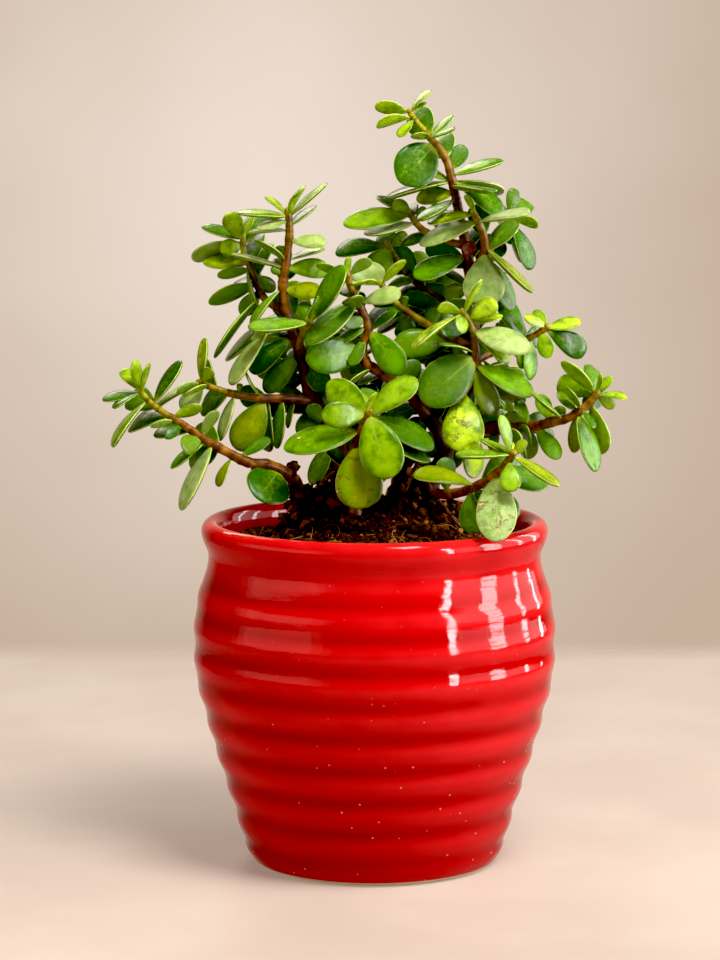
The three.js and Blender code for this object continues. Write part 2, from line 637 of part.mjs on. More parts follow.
// An unseen leaf: it grows out of its stem anywhere behind what the viewer sees.
function unseenLeaf(name, taken) {
  const stem = STEMS[name];
  const first = Math.floor(stem.spots.length * (stem.from ? 0.25 : 0.5));
  for (let attempt = 0; attempt < EXTRA_TRIES; attempt++) {
    const root = stem.spots[Math.floor(draw(first, stem.spots.length - END_SPOTS))];
    const along = stem.curve.getTangent(root.share);
    const side = along.clone().cross(AWAY).normalize();
    const back = side.clone().cross(along);
    const around = draw(0, 2 * Math.PI);
    const lean = draw(...EXTRA_LEAN);
    const length = draw(...EXTRA_LENGTHS);
    const tip = root.point.clone()
      .addScaledVector(along, Math.cos(lean) * length)
      .addScaledVector(side, Math.cos(around) * Math.sin(lean) * length)
      .addScaledVector(back, Math.sin(around) * Math.sin(lean) * length);
    const leaf = makeLeaf(name, root, tip, length * EXTRA_WIDTH, along);
    leaf.normal = across(along, leaf.axis);
    leaf.side = leaf.axis.clone().cross(leaf.normal);
    const spots = blade(leaf);
    if (isClear(spots, taken.filter((spot) => spot.stem !== name || !spot.share)) && isHidden(spots, taken))
      return leaf;
  }
  return null;
}

// True where every spot has something of the plant in front of it, as the viewer sees it.
function isHidden(spots, taken) {
  return spots.every((spot) => {
    const [x, z] = seen(spot.point);
    return taken.some((other) => {
      if (other.point.y > spot.point.y - 2) return false;
      const [otherX, otherZ] = seen(other.point);
      return Math.hypot(x - otherX, z - otherZ) < COVER_REACH;
    });
  });
}

function leafSolid(leaf) {
  const geometry = new THREE.SphereGeometry(1, LEAF_SIDES, LEAF_RINGS);
  const place = geometry.attributes.position;
  for (let i = 0; i < place.count; i++) {
    const share = (1 + place.getY(i)) / 2;
    const round = Math.sqrt(Math.max(0, 1 - place.getY(i) ** 2)) || 1;
    const aside = place.getX(i) / round;
    const lift = (place.getZ(i) / round) * (leaf.thick / 2) * outline(share) ** 0.6;
    const point = middle(leaf, share, aside).addScaledVector(leaf.normal, lift);
    place.setXYZ(i, point.x, point.y, point.z);
  }
  return solidOf(geometry);
}

// ---- The whole ----

const names = Object.keys(STEMS);
names.forEach(lay);
const taken = names.flatMap((name) => STEMS[name].spots);
const leaves = Object.fromEntries(names.map((name) => [name, []]));

function keep(name, leaf) {
  if (!leaf) return;
  leaves[name].push(leaf);
  taken.push(...blade(leaf));
}

for (const name of names)
  for (const row of STEMS[name].leaves) keep(name, listedLeaf(name, row, taken));
for (const name of names)
  for (let i = 0; i < STEMS[name].extra; i++) keep(name, unseenLeaf(name, taken));

function leafyStem(name) {
  const stem = STEMS[name];
  const pieces = [tube(stem), ...leaves[name].map(leafSolid)];
  if (stem.stump) pieces.push(stump(stem));
  const whole = wasm.Manifold.union(pieces);
  return stem.from ? largest(whole.subtract(tube(STEMS[stem.from], GAP))) : whole;
}

const feet = names.filter((name) => !STEMS[name].from).map((name) => {
  const { point, radius } = STEMS[name].spots[0];
  return { x: point.x, y: point.y, z: point.z, radius };
});

const plant = new THREE.Group();
plant.add(meshOf("pot", pot(), POT_FINISH));
plant.add(meshOf("soil", soil(feet), SOIL_FINISH));
for (const name of names) plant.add(meshOf(name, leafyStem(name), LEAF_FINISH));

export default plant;
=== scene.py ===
"""A jade plant in a glazed, ribbed pot: finer pieces and finishes over the CAD frame.

Lengths are millimetres until a piece is made. +Z is up, +X is the viewer's right and +Y points
away from the viewer. Stems and leaves follow the same table and the same rules as the CAD part:
each is given by where it appears on the upright plane through the pot's axis, and is slid along
the line of sight to its real depth, so the finer leaves sit where the CAD ones are.
"""

import json
import math

import bmesh
import bpy
import numpy as np
from mathutils import Matrix, Vector

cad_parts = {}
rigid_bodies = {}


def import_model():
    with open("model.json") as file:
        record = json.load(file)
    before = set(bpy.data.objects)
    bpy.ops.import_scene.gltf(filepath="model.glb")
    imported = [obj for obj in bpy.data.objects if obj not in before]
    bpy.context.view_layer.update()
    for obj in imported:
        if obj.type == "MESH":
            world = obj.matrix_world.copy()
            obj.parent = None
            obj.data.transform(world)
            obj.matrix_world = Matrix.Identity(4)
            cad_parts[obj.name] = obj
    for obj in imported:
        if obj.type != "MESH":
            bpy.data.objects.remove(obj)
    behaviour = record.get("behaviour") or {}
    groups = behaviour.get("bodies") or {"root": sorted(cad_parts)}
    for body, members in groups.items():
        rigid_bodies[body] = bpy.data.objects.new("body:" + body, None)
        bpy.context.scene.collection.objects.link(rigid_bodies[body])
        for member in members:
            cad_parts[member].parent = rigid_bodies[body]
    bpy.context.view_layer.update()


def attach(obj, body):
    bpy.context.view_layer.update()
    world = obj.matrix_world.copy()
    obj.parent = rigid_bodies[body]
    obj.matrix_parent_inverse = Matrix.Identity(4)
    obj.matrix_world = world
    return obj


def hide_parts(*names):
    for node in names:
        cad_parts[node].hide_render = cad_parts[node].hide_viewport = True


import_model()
MM = 0.001

# ---- Where the viewer stands ----

EYE = np.array([-5.6, -1200.0, 306.0])
LOOK_DOWN = 7.5  # degrees below the horizon
LENS = 117.9
SENSOR_HEIGHT = 36

# ---- Pot ----

POT_HEIGHT = 133
FOOT_PROFILE = [[0, 0], [44.5, 0], [46.4, 0.3], [47.9, 1.2], [48.8, 2.6], [49.8, 4.4], [50.5, 6.2]]
GROOVE_START = 8
GROOVE_PITCH = 12.8
GROOVE_RADII = [50.5, 54.1, 58.1, 62.0, 65.5, 68.7, 69.4, 68.9, 66.0]
RIB_BULGE = 0.85
RIB_LEAN = 1.15  # a rib is fullest a little above its middle
RIB_POINTS = 10
RIM_OUTSIDE = [
    [64.9, 113.8], [64.3, 116.6], [64.1, 119.2], [64.4, 121.4], [65.4, 123.6], [66.3, 126.0],
    [66.8, 128.4], [66.6, 130.4], [65.6, 132.0], [64.2, 132.9],
]
RIM_CREST_RADIUS = 62.9
WALL_INSIDE = [
    [61.4, 132.6], [60.2, 131.4], [59.3, 129.4], [58.9, 127], [58.6, 120], [60.2, 112], [63, 86],
    [57.2, 45], [46, 14],
]
FLOOR_RADIUS = 41
FLOOR_TOP = 8
POT_STEPS = 128
WELD = 0.02  # points of the pot nearer to each other than this become one

# ---- Glaze ----

GLAZE_SHADED_GROOVE, GLAZE_LIT_CREST = "#970b0f", "#bf2328"  # painted shade in a groove, and painted light over a rib
# the second of these colours is a painted shade, darker towards the foot
GLAZE_CLOUD, GLAZE_SHADED_LOW, GLAZE_PINHOLE = "#a8141a", "#87060a", "#e6a48a"
CLAY_TONES = ("#b59f83", "#d9c8ac")
CREST_RISE = 5.5  # height over a groove at which the painted light of a rib is full
LIT_RIM_HEIGHTS = (108, 118)  # heights between which the last groove's painted shade gives way to the rim's painted light
SHADED_BELOW = 60  # below this the red is painted darker, a painted shade towards the foot
PINHOLE_PITCH = 5
PINHOLE_SIZE = (0.05, 0.085)  # as shares of the pitch: where a pinhole's edge fades
PINHOLE_CHOICE = (0.25, 0.27)  # a cell whose chance is higher than this has a pinhole
PINHOLE_HEIGHTS = (45, 85)  # most of them lie below this
BARE_FOOT = (1.15, 1.45)  # heights between which the unglazed foot edge ends

# ---- Soil ----

SOIL_EDGE = 124
SOIL_MOUNDS = [[2, 4, 15, 50], [-22, 6, 6, 17]]  # x, y, rise, reach
SOIL_RIPPLE = 0.7
SOIL_WAVES = (0.45, 0.4)  # how close its ripples lie along x and y, in radians a millimetre
SOIL_RADIUS = 58.4
SOIL_GRID = 140
SOIL_MARGIN = 1.01  # the grid reaches past the soil's radius by this factor
MOUND_MIDDLE = 0.6  # what lies this near to a mound's middle is drawn up, and its surroundings
SOIL_LUMPS = (7, 4.5)  # size and height of the lumps in the soil's surface
SOIL_GRAINS = (1.6, 2.4)
INSIDE_REACH = 56.9  # leaves over the soil stay above it as far out as this
RIM_REACH = 69.3  # and above the rim from there to here
LUMP_KINDS = 5
LUMP_RAGGED = {"offset": 0.35, "uniform": 0.2, "normal": 0.4}
LUMP_TURN = (0, 6.28)  # in radians
LUMP_STRETCH = (0.6, 1.25)
LUMP_LIFT = 0.4  # a lump's middle stands this share of its size over the soil
CRUMBS = 2400
CRUMB_SIZES = (0.35, 1.2)
GRAINS = 260  # pale grit in the compost
GRAIN_SIZES = (0.2, 0.5)
ROOTLETS = 300
ROOTLET_REACH = 55
ROOTLET_RADII = [0.07, 0.1, 0.14, 0.22]
ROOTLET_SHARES = [0.4, 0.35, 0.17, 0.08]  # how many of them have each radius
ROOTLET_CROWDING = 0.6  # at 0.5 they would be even, and higher they crowd in the middle
ROOTLET_POINTS = (6, 14)
ROOTLET_FEWEST_POINTS = 4  # one that the pot's wall cuts shorter is left out
ROOTLET_STEP = 1.2
ROOTLET_CURL = 0.25  # in radians a step
ROOTLET_WANDER = 0.3
ROOTLET_LIFT = 0.7
ROOTLET_ARCH = (0.3, 3.2)
ROOTLET_TAPER = 0.6
ROOTLET_DARK = 2  # the higher this is, the more of them are dark
# where compost is heaped against the stems: x, y, top, reach along x and y, count of clods
HEAPS = [
    [-27, -4, 147, 9, 7, 150], [-18, 1, 148, 9, 8, 150], [-13, 7, 151, 8, 7, 90],
    [-14, 9, 162, 4, 4, 70], [-31.5, -3, 157, 3.5, 3.5, 70],
    [-8, -12, 138, 8, 6, 70], [13, 2, 153, 10, 8, 200], [27, 0, 141, 12, 9, 100],
]
CLOD_SIZES = (0.8, 2.6)
HEAP_LOW = 1.6  # the higher this is, the more of a heap lies low
HEAP_SPREAD = 0.5  # how far from a heap's middle most clods lie, as a share of its reach
HEAP_TAPER = 0.65  # how much narrower a heap is at its top
GRIT = [[-3, -47, 0, 9, 4, 45]]  # where pale grit lies close together, in the same terms
GRIT_SIZES = (0.25, 0.55)
# thick roots that come off the trunks, each a route of [x, z, depth], with its radii
THICK_ROOTS = [
    ([[20, 158, 4], [15, 151, 1], [11, 143, -3], [6, 135, -6]], (1.5, 0.8)),
    ([[19, 150, 4], [22, 143, -2], [27, 137, -6], [33, 130, -10]], (1.4, 0.7)),
    ([[19, 147, 6], [13, 141, 6], [5, 138, 3], [-2, 134, 0]], (1.3, 0.6)),
    ([[18, 162, 8], [12, 154, 9], [9, 145, 10], [8, 132, 10]], (2.4, 2.0)),
    ([[-14, 152, 7], [-20, 147, 3], [-24, 140, -1], [-25, 132, -4]], (1.3, 0.7)),
    ([[-13, 148, 8], [-8, 142, 4], [-5, 136, -2], [-4, 130, -6]], (1.4, 0.7)),
    ([[-14, 147, 8], [-19, 143, 6], [-24, 137, 5], [-30, 131, 3]], (1.0, 0.5)),
]
THICK_ROOT_POINTS = 24
THICK_ROOT_UNEVEN = 0.12
THICK_ROOT_WAVER = 31  # in radians over its length
THICK_ROOT_END = 0.4
THICK_ROOT_BARK = {"age": 1.0, "ring": 0.3}

# ---- Finer stems and leaves ----

STEM_PITCH = 1.0  # spacing of a stem's points
STEM_ROUNDNESS = 2
STEM_FEWEST_POINTS = 8
STEM_UNEVEN = 0.05  # how much its thickness wavers
STEM_WAVER = 0.55  # and how fast, in radians a millimetre
RING_SPACING = 8.0  # from one old leaf scar to the next on a bare stretch
RING_SPAN = (0.04, 0.97)  # shares of the stem between which it has such rings
RING_REACH = 0.8  # how far a ring swells the stem to either side
RING_SWELL = 0.12  # as a share of the stem's radius
FOOT_FLARE = 0.4  # how much wider a rooted stem is where it enters the soil
FLARE_HEIGHT = 5
STEM_END = 0.5  # what is left of the radius at its very end
YOUNG_RADIUS = 1.0  # a stem this thin has the youngest bark
OLD_RADIUS = 4.2  # and one this thick the oldest
STUMP_SIDES = 24
STUMP_STEPS = ((0.5, 0.5), (1.1, 0.4))  # how far in, and how far sunk
STUMP_RAGGED = 0.18
STUMP_SKIN = 0.1  # what lies this near to its face is the face
LEAF_SIDES = 8
LEAF_ROWS = 9
LEAF_SMOOTHING = 1
SMOOTHING_LOSS = 1.09  # the smoothing draws a leaf in by this much
LEAF_RIM = (1, 1.2, 0.95)  # how the corners of a leaf's rings go out for a full rim
LEAF_POINT = 0.015  # how far the leaf's end stands out
RING_PLAY = 0.004  # what lies this near to a ring, along the leaf, belongs to it
CORNER_PLAY = 0.1  # what lies this near to a ring's corner is a corner, as a share
EDGE_FROM = 1.3  # and what lies this many times as far out is its edge
LEAF_FULLNESS = 0.6  # the lower this is, the longer a leaf stays thick towards its ends
YOUNG_FROM = 0.7  # leaves past this share of a stem get younger towards its tip
SMALL_LEAF = 12  # and a leaf shorter than this is young too
# tints for the leaves that the sets of tips name: young leaves and lit ones painted lighter, bloom with
# painted sheen, painted shade, and olive
YOUNG_AND_LIT_TINT, BLOOM_AND_SHEEN_TINT, SHADE_TINT, OLIVE = 0.9, 0.9, 0.75, 0.8
# name, how the outline opens at the foot and closes at the tip, bow, lift of the edges, droop
LEAF_KINDS = [
    ("leaf_egg", 0.85, 0.5, 0.04, 0.03, 0.0), ("leaf_oval", 0.74, 0.58, 0.02, 0.035, 0.0),
    ("leaf_spoon", 1.0, 0.44, 0.05, 0.03, 0.03), ("leaf_cupped", 0.8, 0.52, 0.02, 0.05, -0.03),
]

# ---- Studio ----

FLOOR_REACH = 470
FLOOR_FADE = 70
FLOOR_DROP = 0.2  # the floor lies this far under the pot
FLOOR_TONES = ("#9c9594", "#a5a09f")
FLOOR_GLOW = "#ecd3c2"  # the floor's own glow, a painted light that keeps the shadow on the floor light and soft
FLOOR_GLOW_STRENGTH = 0.25
MIRRORED_FLOOR = 0.35  # how much of the floor gloss mirrors
WALL_TONES = ("#efe0d2", "#c8b29f")  # where the light falls on the backdrop, and away from it
WALL_GLOW = (-0.03, 1.0, -0.04)  # the way to its brightest place
WALL_REACH = (0.03, 0.24)
WALL_MOTTLE = 0.09  # how unevenly the bright place ends
WALL_MIRRORED = (0.7, 0.98)  # gloss mirrors the wall where it looks this straight back at it
FILL_TONE = "#f3dcc4"  # the room's dimmer light, which reaches the plant from all round
FILL_STRENGTH = 0.19
GLOSS_FILL_STRENGTH = 0.07  # and what gloss mirrors of it
BLACK_LEVEL = 0.019  # the picture is developed with deep shadows
# Name, place, what it points at, width and height, watts, colour, and what it lights: the matt
# colour of a surface, or its gloss, where the light's shape is mirrored.
SOFTBOXES = [
    ("window_light", (1020, -240, 420), (0, 0, 130), (1350, 620), 19.5, "#fff0e0", "matt"),
    ("window_sheen", (990, 90, 370), (0, 0, 130), (1900, 700), 5.8, "#ffffff", "gloss"),
    ("overhead_softbox", (350, -500, 1250), (0, 0, 200), (500, 500), 26.0, "#fff0dc", "matt"),
    ("overhead_sheen", (340, -490, 1210), (0, 0, 200), (300, 300), 5.0, "#ffffff", "gloss"),
    ("left_softbox", (-1000, -500, 260), (0, 0, 110), (1100, 500), 6.0, "#ffe2c8", "matt"),
    ("left_near_sheen", (-900, -450, 240), (0, 0, 110), (900, 330), 0.8, "#ffb8aa", "gloss"),
    ("left_middle_sheen", (-940, -470, 250), (0, 0, 110), (1250, 400), 1.0, "#ffb8aa", "gloss"),
    ("left_far_sheen", (-970, -485, 255), (0, 0, 110), (1650, 470), 1.3, "#ffb8aa", "gloss"),
    ("back_softbox", (-350, 900, 900), (0, 0, 220), (700, 500), 3.0, "#fff4e6", "matt"),
    ("back_sheen", (-340, 870, 870), (0, 0, 220), (600, 400), 4.2, "#fff4e6", "gloss"),
]
# the columns of a window's panes: name, place, width, watts of each pane
PANES = [
    ("window_left_pane", (790, -690, 360), 90, 1.0),
    ("window_middle_pane", (960, -150, 360), 210, 1.05),
    ("window_right_pane", (930, 300, 360), 70, 0.3),
    ("window_far_pane", (770, 590, 360), 50, 0.2),
]
PANE_ROWS = 5
PANE_ROW_HEIGHT = 126
PANE_ROW_PITCH = 150
PANE_TILT = 280  # a pane faces the axis this much below its own height

# ---- Stems and leaves: the rules that the CAD part uses ----

SPOTS_PER_STRETCH = 6
END_SPOTS = 2  # no leaf is rooted in a stem's very end
ROOT_OUT = 0.45  # how far out a leaf starts, as a share of the stem's radius
TAPER = 0.8
BLADE_OPENS, BLADE_CLOSES, BLADE_PEAK = 0.9, 0.45, 0.4235  # the outline of a blade
SLENDER = 0.5  # a leaf is at least this share of its length wide
LEAF_THICKNESS = 0.115  # as a share of the leaf's length
LEAF_THINNEST = 1.0
LEAF_THICKEST = 2.9
LEAF_BOW = 0.06  # rise of the blade's middle over its chord, as a share of the length
LEAF_CUP = 0.1  # rise of the blade's edges, as a share of its half width
TALL_PART_OF_UP = 0.4  # how much a leaf's upper face turns to the sky, the rest to the tip
SPOT_PITCH = 2.6  # spacing of the spots that stand for a blade when it is kept clear
SPOT_PLAY = 0.8
SPOT_LAST = 0.97  # the share of the length at which the last ones lie
SPOT_SPREAD = 0.9  # and of the half width at which the outer ones lie
SPOTS_FROM = 0.3  # the share of a blade, from its root, that may touch its neighbours
NEIGHBOUR_REACH = 9  # spots further from a blade than this can't touch it
DEPTH_TRIES = [0, 3, -3, 6, -6, 9, -9, 12, -12, 16, -16]
EXTRA_TRIES = 14
EXTRA_LENGTHS = (13, 22)
EXTRA_BARE = (0.5, 0.25)  # shares of a rooted stem, and of a branch, that hold no unseen leaf
EXTRA_LEAN = (0.85, 1.3)  # angle between an unseen leaf and its stem, in radians
EXTRA_WIDTH = 0.56
COVER_REACH = 8  # an unseen leaf keeps this near to something in front of it
COVER_AHEAD = 2  # and that lies at least this much nearer to the viewer
SEED = 4711

# ---- Inner leaves: they close the dense middle of the plant, behind what the table lists ----

INNER_ROUNDS = 20
INNER_TRIES = 14
INNER_SEED = 90210
INNER_LENGTHS = (12, 22)
INNER_BARE = (0.35, 0.12)
INNER_REACH = 60  # listed leaves further off than this don't matter to it
INNER_GAP = 1.8  # what is nearer than this to a listed leaf, as seen, must lie behind it
# x and z where the plant's middle ends, as the viewer sees it
INNER_OUTLINE = [
    [-43, 248], [-28, 244], [-20, 232], [-11, 231], [-9, 247], [4, 244], [8, 262], [25, 266],
    [36, 262], [47, 257], [54, 248], [53, 232], [56, 216], [64, 205], [67, 180], [65, 154],
    [55, 145], [25, 143], [-17, 142], [-27, 148], [-35, 164], [-44, 180], [-56, 187], [-56, 198],
    [-52, 210], [-58, 218], [-58, 234],
]
OPEN_HEIGHT = 203  # above this, and this far to each side of the middle, stems stay in sight
OPEN_MIDDLE = 10
OPEN_SIDE = 40

# A route is a list of [x, z, depth]. A leaf is [base x, base z, tip x, tip z, seen width,
# how much deeper its tip lies than its base]. A stem without a parent stands in the soil.
STEMS = {
    "right_leader": {
        "thick": [4.3, 1.0],
        "stump": {"x": 36, "z": 237, "radius": 2.8, "reach": 6},
        "route": [
            [19, 104, 6], [19, 124, 6], [19.5, 139, 6], [23, 150, 5], [27, 158, 4], [31, 170, 6],
            [35, 182, 8], [38, 194, 9], [38, 206, 10], [37, 220, 11], [35.5, 234, 10], [33, 246, 10],
            [30.5, 258, 9], [27, 271, 8], [21, 279, 8], [15, 286, 8], [12.5, 290, 8],
        ],
        "leaves": [
            [12, 290, 0, 291, 5.5, -2], [14, 286, 0.5, 284, 5, -6], [13, 290, 21, 297, 3, 2],
            [14, 289, 20, 292, 2.5, -4], [15, 286, 9.5, 279.5, 4, -8], [21, 279, 30, 287.5, 3.5, 3],
            [21, 279, 14, 280, 3.5, -8], [22, 279, 30, 282, 3, -8], [23, 276, 9.5, 262, 17, -9],
            [29, 266, 34, 276, 7, 5], [29, 264, 49, 270.5, 5, 2], [30, 263, 49, 250, 8, -5],
            [30, 262, 15, 268, 4, 5], [30, 260, 44, 258, 3.5, -9], [29, 262, 4, 256, 4.5, -3],
            [30, 259, 16, 256, 7, 5], [31, 256, 17, 247, 5, -5], [35, 234, 15, 226, 9, -8],
            [24, 151, 14.5, 159, 6, 7], [38, 209, 24, 206, 8, 8], [37, 222, 26, 219, 7, 5],
            [36, 229, 20, 238, 9, 8],
        ],
        "extra": 8,
    },
    "left_leader": {
        "thick": [4.4, 1.3],
        "route": [
            [-14, 104, 9], [-14, 124, 9], [-14, 141, 9], [-13, 151, 8], [-14, 160, 8], [-18, 170, 9],
            [-24, 180, 9], [-27, 192, 8], [-31, 205, 7], [-34, 214, 6], [-35, 223, 5], [-34, 231, 5],
            [-32.5, 242, 5], [-33, 253, 5],
        ],
        "leaves": [
            [-32, 252, -18, 262, 3.5, 4], [-33, 253, -27.5, 260.5, 4, -2], [-33, 253, -41.5, 257, 3, 3],
            [-33, 250, -52.5, 250.5, 4, -3], [-33, 249, -43, 248.5, 3, -8], [-33, 247, -45, 244.5, 4, -5],
            [-33, 243, -48.5, 243, 3, 4], [-33, 241, -18.5, 239, 6, -6], [-33, 233, -19, 237, 3.5, 3],
            [-34, 230, -17, 229, 8, 5], [-34, 230, -55, 235, 3, 2], [-35, 221, -47.5, 208, 4, -6],
            [-35, 221, -20, 220, 7, -7], [-34, 227, -39.5, 229.5, 3, -3], [-31, 203.5, -48, 190, 9, -2],
            [-27.5, 195.5, -42, 182, 9, -10], [-15, 160, -21, 145, 5, 5], [-18, 169, -25.5, 177, 6, -4],
            [-27, 191, -18, 183, 9, 8], [-22, 176, -11, 183, 9, 7],
        ],
        "extra": 8,
    },
    "left_low_branch": {
        "thick": [3.2, 1.1],
        "route": [
            [-28, 104, -2], [-28, 124, -2], [-28.5, 141, -2], [-32, 149, -4], [-40, 153.5, -7],
            [-49, 155, -10], [-57, 159, -11], [-65, 163.5, -12], [-73, 169, -12], [-80, 173.5, -12],
            [-86, 178, -12], [-91, 184, -12],
        ],
        "leaves": [
            [-91, 184, -104.5, 179, 4.5, 0], [-91, 184, -96.5, 191, 6, 4], [-91, 184, -92, 194.5, 5, -3],
            [-90, 183, -86.5, 193, 3.5, 3], [-90, 182, -100.5, 176, 3, -6], [-85, 177, -73.5, 194, 5.5, 4],
            [-87, 178, -101.5, 161, 4.5, -3], [-77, 172, -66, 176, 5, 5], [-77, 171, -86, 168.5, 3, -5],
            [-74, 170, -80.5, 164, 4.5, -6], [-66, 164, -60.5, 175, 5, -4], [-66, 164, -74, 160.5, 8, -10],
            [-65, 163, -78.5, 152.5, 4.5, 0], [-62, 161, -71, 153, 6, 6], [-62, 161, -74.5, 136, 7, -4],
            [-60, 160, -66, 154, 4, 4], [-54, 157, -60.5, 145.5, 4, -4], [-37, 152, -44.5, 140, 18, -15],
        ],
        "extra": 7,
    },
    "front_rosette": {
        "thick": [2.6, 1.4],
        "route": [
            [-7, 104, -12], [-7, 122, -12], [-7.5, 138, -12], [-9, 150, -14], [-8, 160, -18],
            [-5, 168, -21], [-1.5, 176, -24],
        ],
        "leaves": [
            [-1.5, 177, -18, 186, 11.5, 4], [-1.5, 176, 16.5, 187, 10, 2], [-2, 176, -20.5, 173, 10, -6],
            [-2, 174, 6, 148.5, 16.5, -9], [-3, 172, 23, 161, 10, 5], [-7.5, 161, -5, 136.5, 18, -8],
            [-6, 167, -35, 160, 11, -4], [-1.5, 176, 0.5, 182, 3, -5], [-1.5, 176, -4, 181, 3, -4],
        ],
        "extra": 3,
    },
    "left_upper_branch": {
        "parent": "left_leader",
        "thick": [2.1, 1.1],
        "route": [
            [-23, 179, 9], [-32, 179.5, 4], [-42, 179.5, 0], [-50, 180.5, -2], [-57, 182, -3],
            [-63, 184, -3], [-68.5, 186.5, -3],
        ],
        "leaves": [
            [-68, 186, -64.5, 203, 4.5, 3], [-68, 186, -76, 182, 4, -6], [-68, 186, -85, 176, 4.5, 2],
            [-68, 186, -62.5, 191, 5, -5], [-66, 185, -74, 175, 7.5, -6], [-64, 184, -73, 181, 3, -9],
            [-54, 181, -59.5, 163, 5, -3], [-42, 179, -53, 159.5, 13, -6], [-53, 181, -51.5, 185.5, 2.5, -2],
            [-33, 179, -40, 173, 7, 4], [-30, 179, -33.5, 168, 3, -3], [-36, 179, -37.5, 160, 6, 9],
            [-26, 179, -38, 184, 5, 9],
        ],
        "extra": 4,
    },
    "left_side_twig": {
        "parent": "left_leader",
        "thick": [1.5, 1.0],
        "route": [[-32, 208, 7], [-37, 207, 3], [-43, 205, 0]],
        "leaves": [
            [-42, 205, -55, 184.5, 7, -5], [-42, 205, -56, 196, 7, 6], [-41, 205, -47, 203, 4, -8],
        ],
        "extra": 2,
    },
    "left_front_shoot": {
        "parent": "left_leader",
        "thick": [1.6, 1.1],
        "route": [[-29.5, 199, 7], [-28, 203, 0], [-25, 208.5, -6], [-24, 212, -8]],
        "leaves": [
            [-25, 208.5, -48.5, 206, 6.5, -4], [-25, 209, -10.5, 230, 9, -7], [-25, 209, -28, 217, 6, 6],
            [-24, 212, -22, 217, 3, -3],
        ],
        "extra": 1,
    },
    "left_rear_twig": {
        "parent": "left_leader",
        "thick": [1.7, 1.1],
        "route": [
            [-34, 213, 6], [-40, 216, 10], [-44, 221, 13], [-47, 229, 14], [-50, 236, 15], [-50, 243, 15],
        ],
        "leaves": [
            [-50, 243, -66, 245.5, 5, 3], [-50, 243, -56, 250.5, 8, 7], [-50, 243, -46, 250, 3, 4],
            [-50, 238, -59, 236.5, 7, -5], [-50, 240, -69.5, 233, 7, 0], [-48, 231, -65.5, 232, 6.5, 5],
            [-47, 229, -60, 226.5, 5, -4], [-48, 232, -45, 214, 3, -5], [-45, 224, -63.5, 216, 7, 0],
            [-44, 221, -51, 211.5, 7, 6], [-43, 219, -61.5, 195, 4, -2], [-46, 226, -38, 221, 6, 4],
        ],
        "extra": 5,
    },
    "centre_shoot": {
        "parent": "right_leader",
        "thick": [2.7, 1.3],
        "route": [
            [27, 158, 4], [24, 167, 1], [17, 177, -1], [10, 184, -1], [3, 189, 0], [-4, 194, 1],
            [-4.5, 200, 2], [-2.5, 207, 2], [-6, 216, 2], [-9, 222, 2], [-11, 229, 2],
        ],
        "leaves": [
            [-11, 229, -22.5, 231, 4, -2], [-10, 227, -25.5, 224, 5, -5], [-11, 229, -1.5, 233, 5, -4],
            [-10, 227, 4, 228, 9, 4], [-11, 229, -10, 234, 3, -1], [-6, 216, 10, 220, 7, -5],
            [-7, 217, -27, 200, 10, -3], [-4.5, 198, -26.5, 194.5, 14, -9], [-2.5, 206, 11, 189, 11, -8],
            [-3, 206, 8.5, 213.5, 4.5, 4], [-4, 201, -15, 201.5, 5, 6],
            [17, 177, 5, 172, 8, 8],
        ],
        "extra": 6,
    },
    "centre_twig": {
        "parent": "right_leader",
        "thick": [1.6, 1.1],
        "route": [
            [37.5, 199, 10], [28, 203, 9], [21, 207.5, 8], [14, 212, 7], [8.5, 216, 6], [4, 221, 5],
            [2, 225, 5],
        ],
        "leaves": [
            [2, 225, 12, 232.5, 4, -3], [3, 223, -8, 224, 3.5, -3], [11, 214, 11.5, 219, 3, -3],
            [28, 203, 7, 199, 12, -6], [22, 207, 22, 216, 6, 6], [14, 212, 9, 203, 5, 6],
            [14, 211, 2, 207, 8, 7],
        ],
        "extra": 3,
    },
    "right_front_crown": {
        "parent": "right_leader",
        "thick": [2.3, 1.2],
        "route": [
            [30, 171, 6], [32.5, 178, 1], [35, 185, -2], [38.5, 194, -3], [38, 203, -4], [36, 209, -6],
            [33, 214, -8],
        ],
        "leaves": [
            [33, 213.5, 24, 215, 5, -5], [33, 213.5, 41, 225, 3.5, -6], [34, 212, 14, 199, 4.5, -8],
            [36, 209, 31, 207.5, 7, -9], [36, 210, 46.5, 217, 8, -3], [37, 208, 49, 211.5, 4, 3],
            [38, 205, 60, 198, 10, -6], [38, 203, 52, 194, 6, -1], [38, 195, 18, 178, 18, -9],
            [38.5, 193, 60.5, 180.5, 9, -8], [38, 191, 46, 173, 9, -1], [34, 182, 34, 159, 16, -7],
            [37, 189, 57, 177, 8, 6],
        ],
        "extra": 4,
    },
    "right_branch": {
        "parent": "right_leader",
        "thick": [2.8, 1.4],
        "route": [
            [28, 161, 4], [37, 167, 2], [46, 168, -2], [54, 168, -5], [62, 169, -7], [68, 170.5, -8],
            [74, 172, -9], [78.5, 174.5, -9], [82.5, 178, -9], [86, 183, -9],
        ],
        "leaves": [
            [85, 182, 71.5, 193.5, 5.5, -4], [84, 180, 70, 186, 9, 3], [86, 183, 87, 189, 2.5, -3],
            [86, 183, 91, 188, 4, 2], [86, 183, 97, 180, 3.5, -1], [86, 182, 92, 176, 4.5, -3],
            [79, 175, 73, 184, 3, -7], [78, 174, 70, 182, 4.5, -1], [78, 174, 85, 151, 8, -7],
            [77, 173.5, 76, 158.5, 6, 3], [82, 178, 87, 158, 9, 4], [80, 176, 84, 168, 3.5, -9],
            [60, 169, 50, 173, 6.5, 6], [66, 170, 73, 176, 5, 6], [68, 171, 63, 181, 6, 4],
            [60, 168.5, 59, 156, 7.5, 5], [62, 169, 71, 156, 7, -3], [64, 169, 69, 164, 3.5, 6],
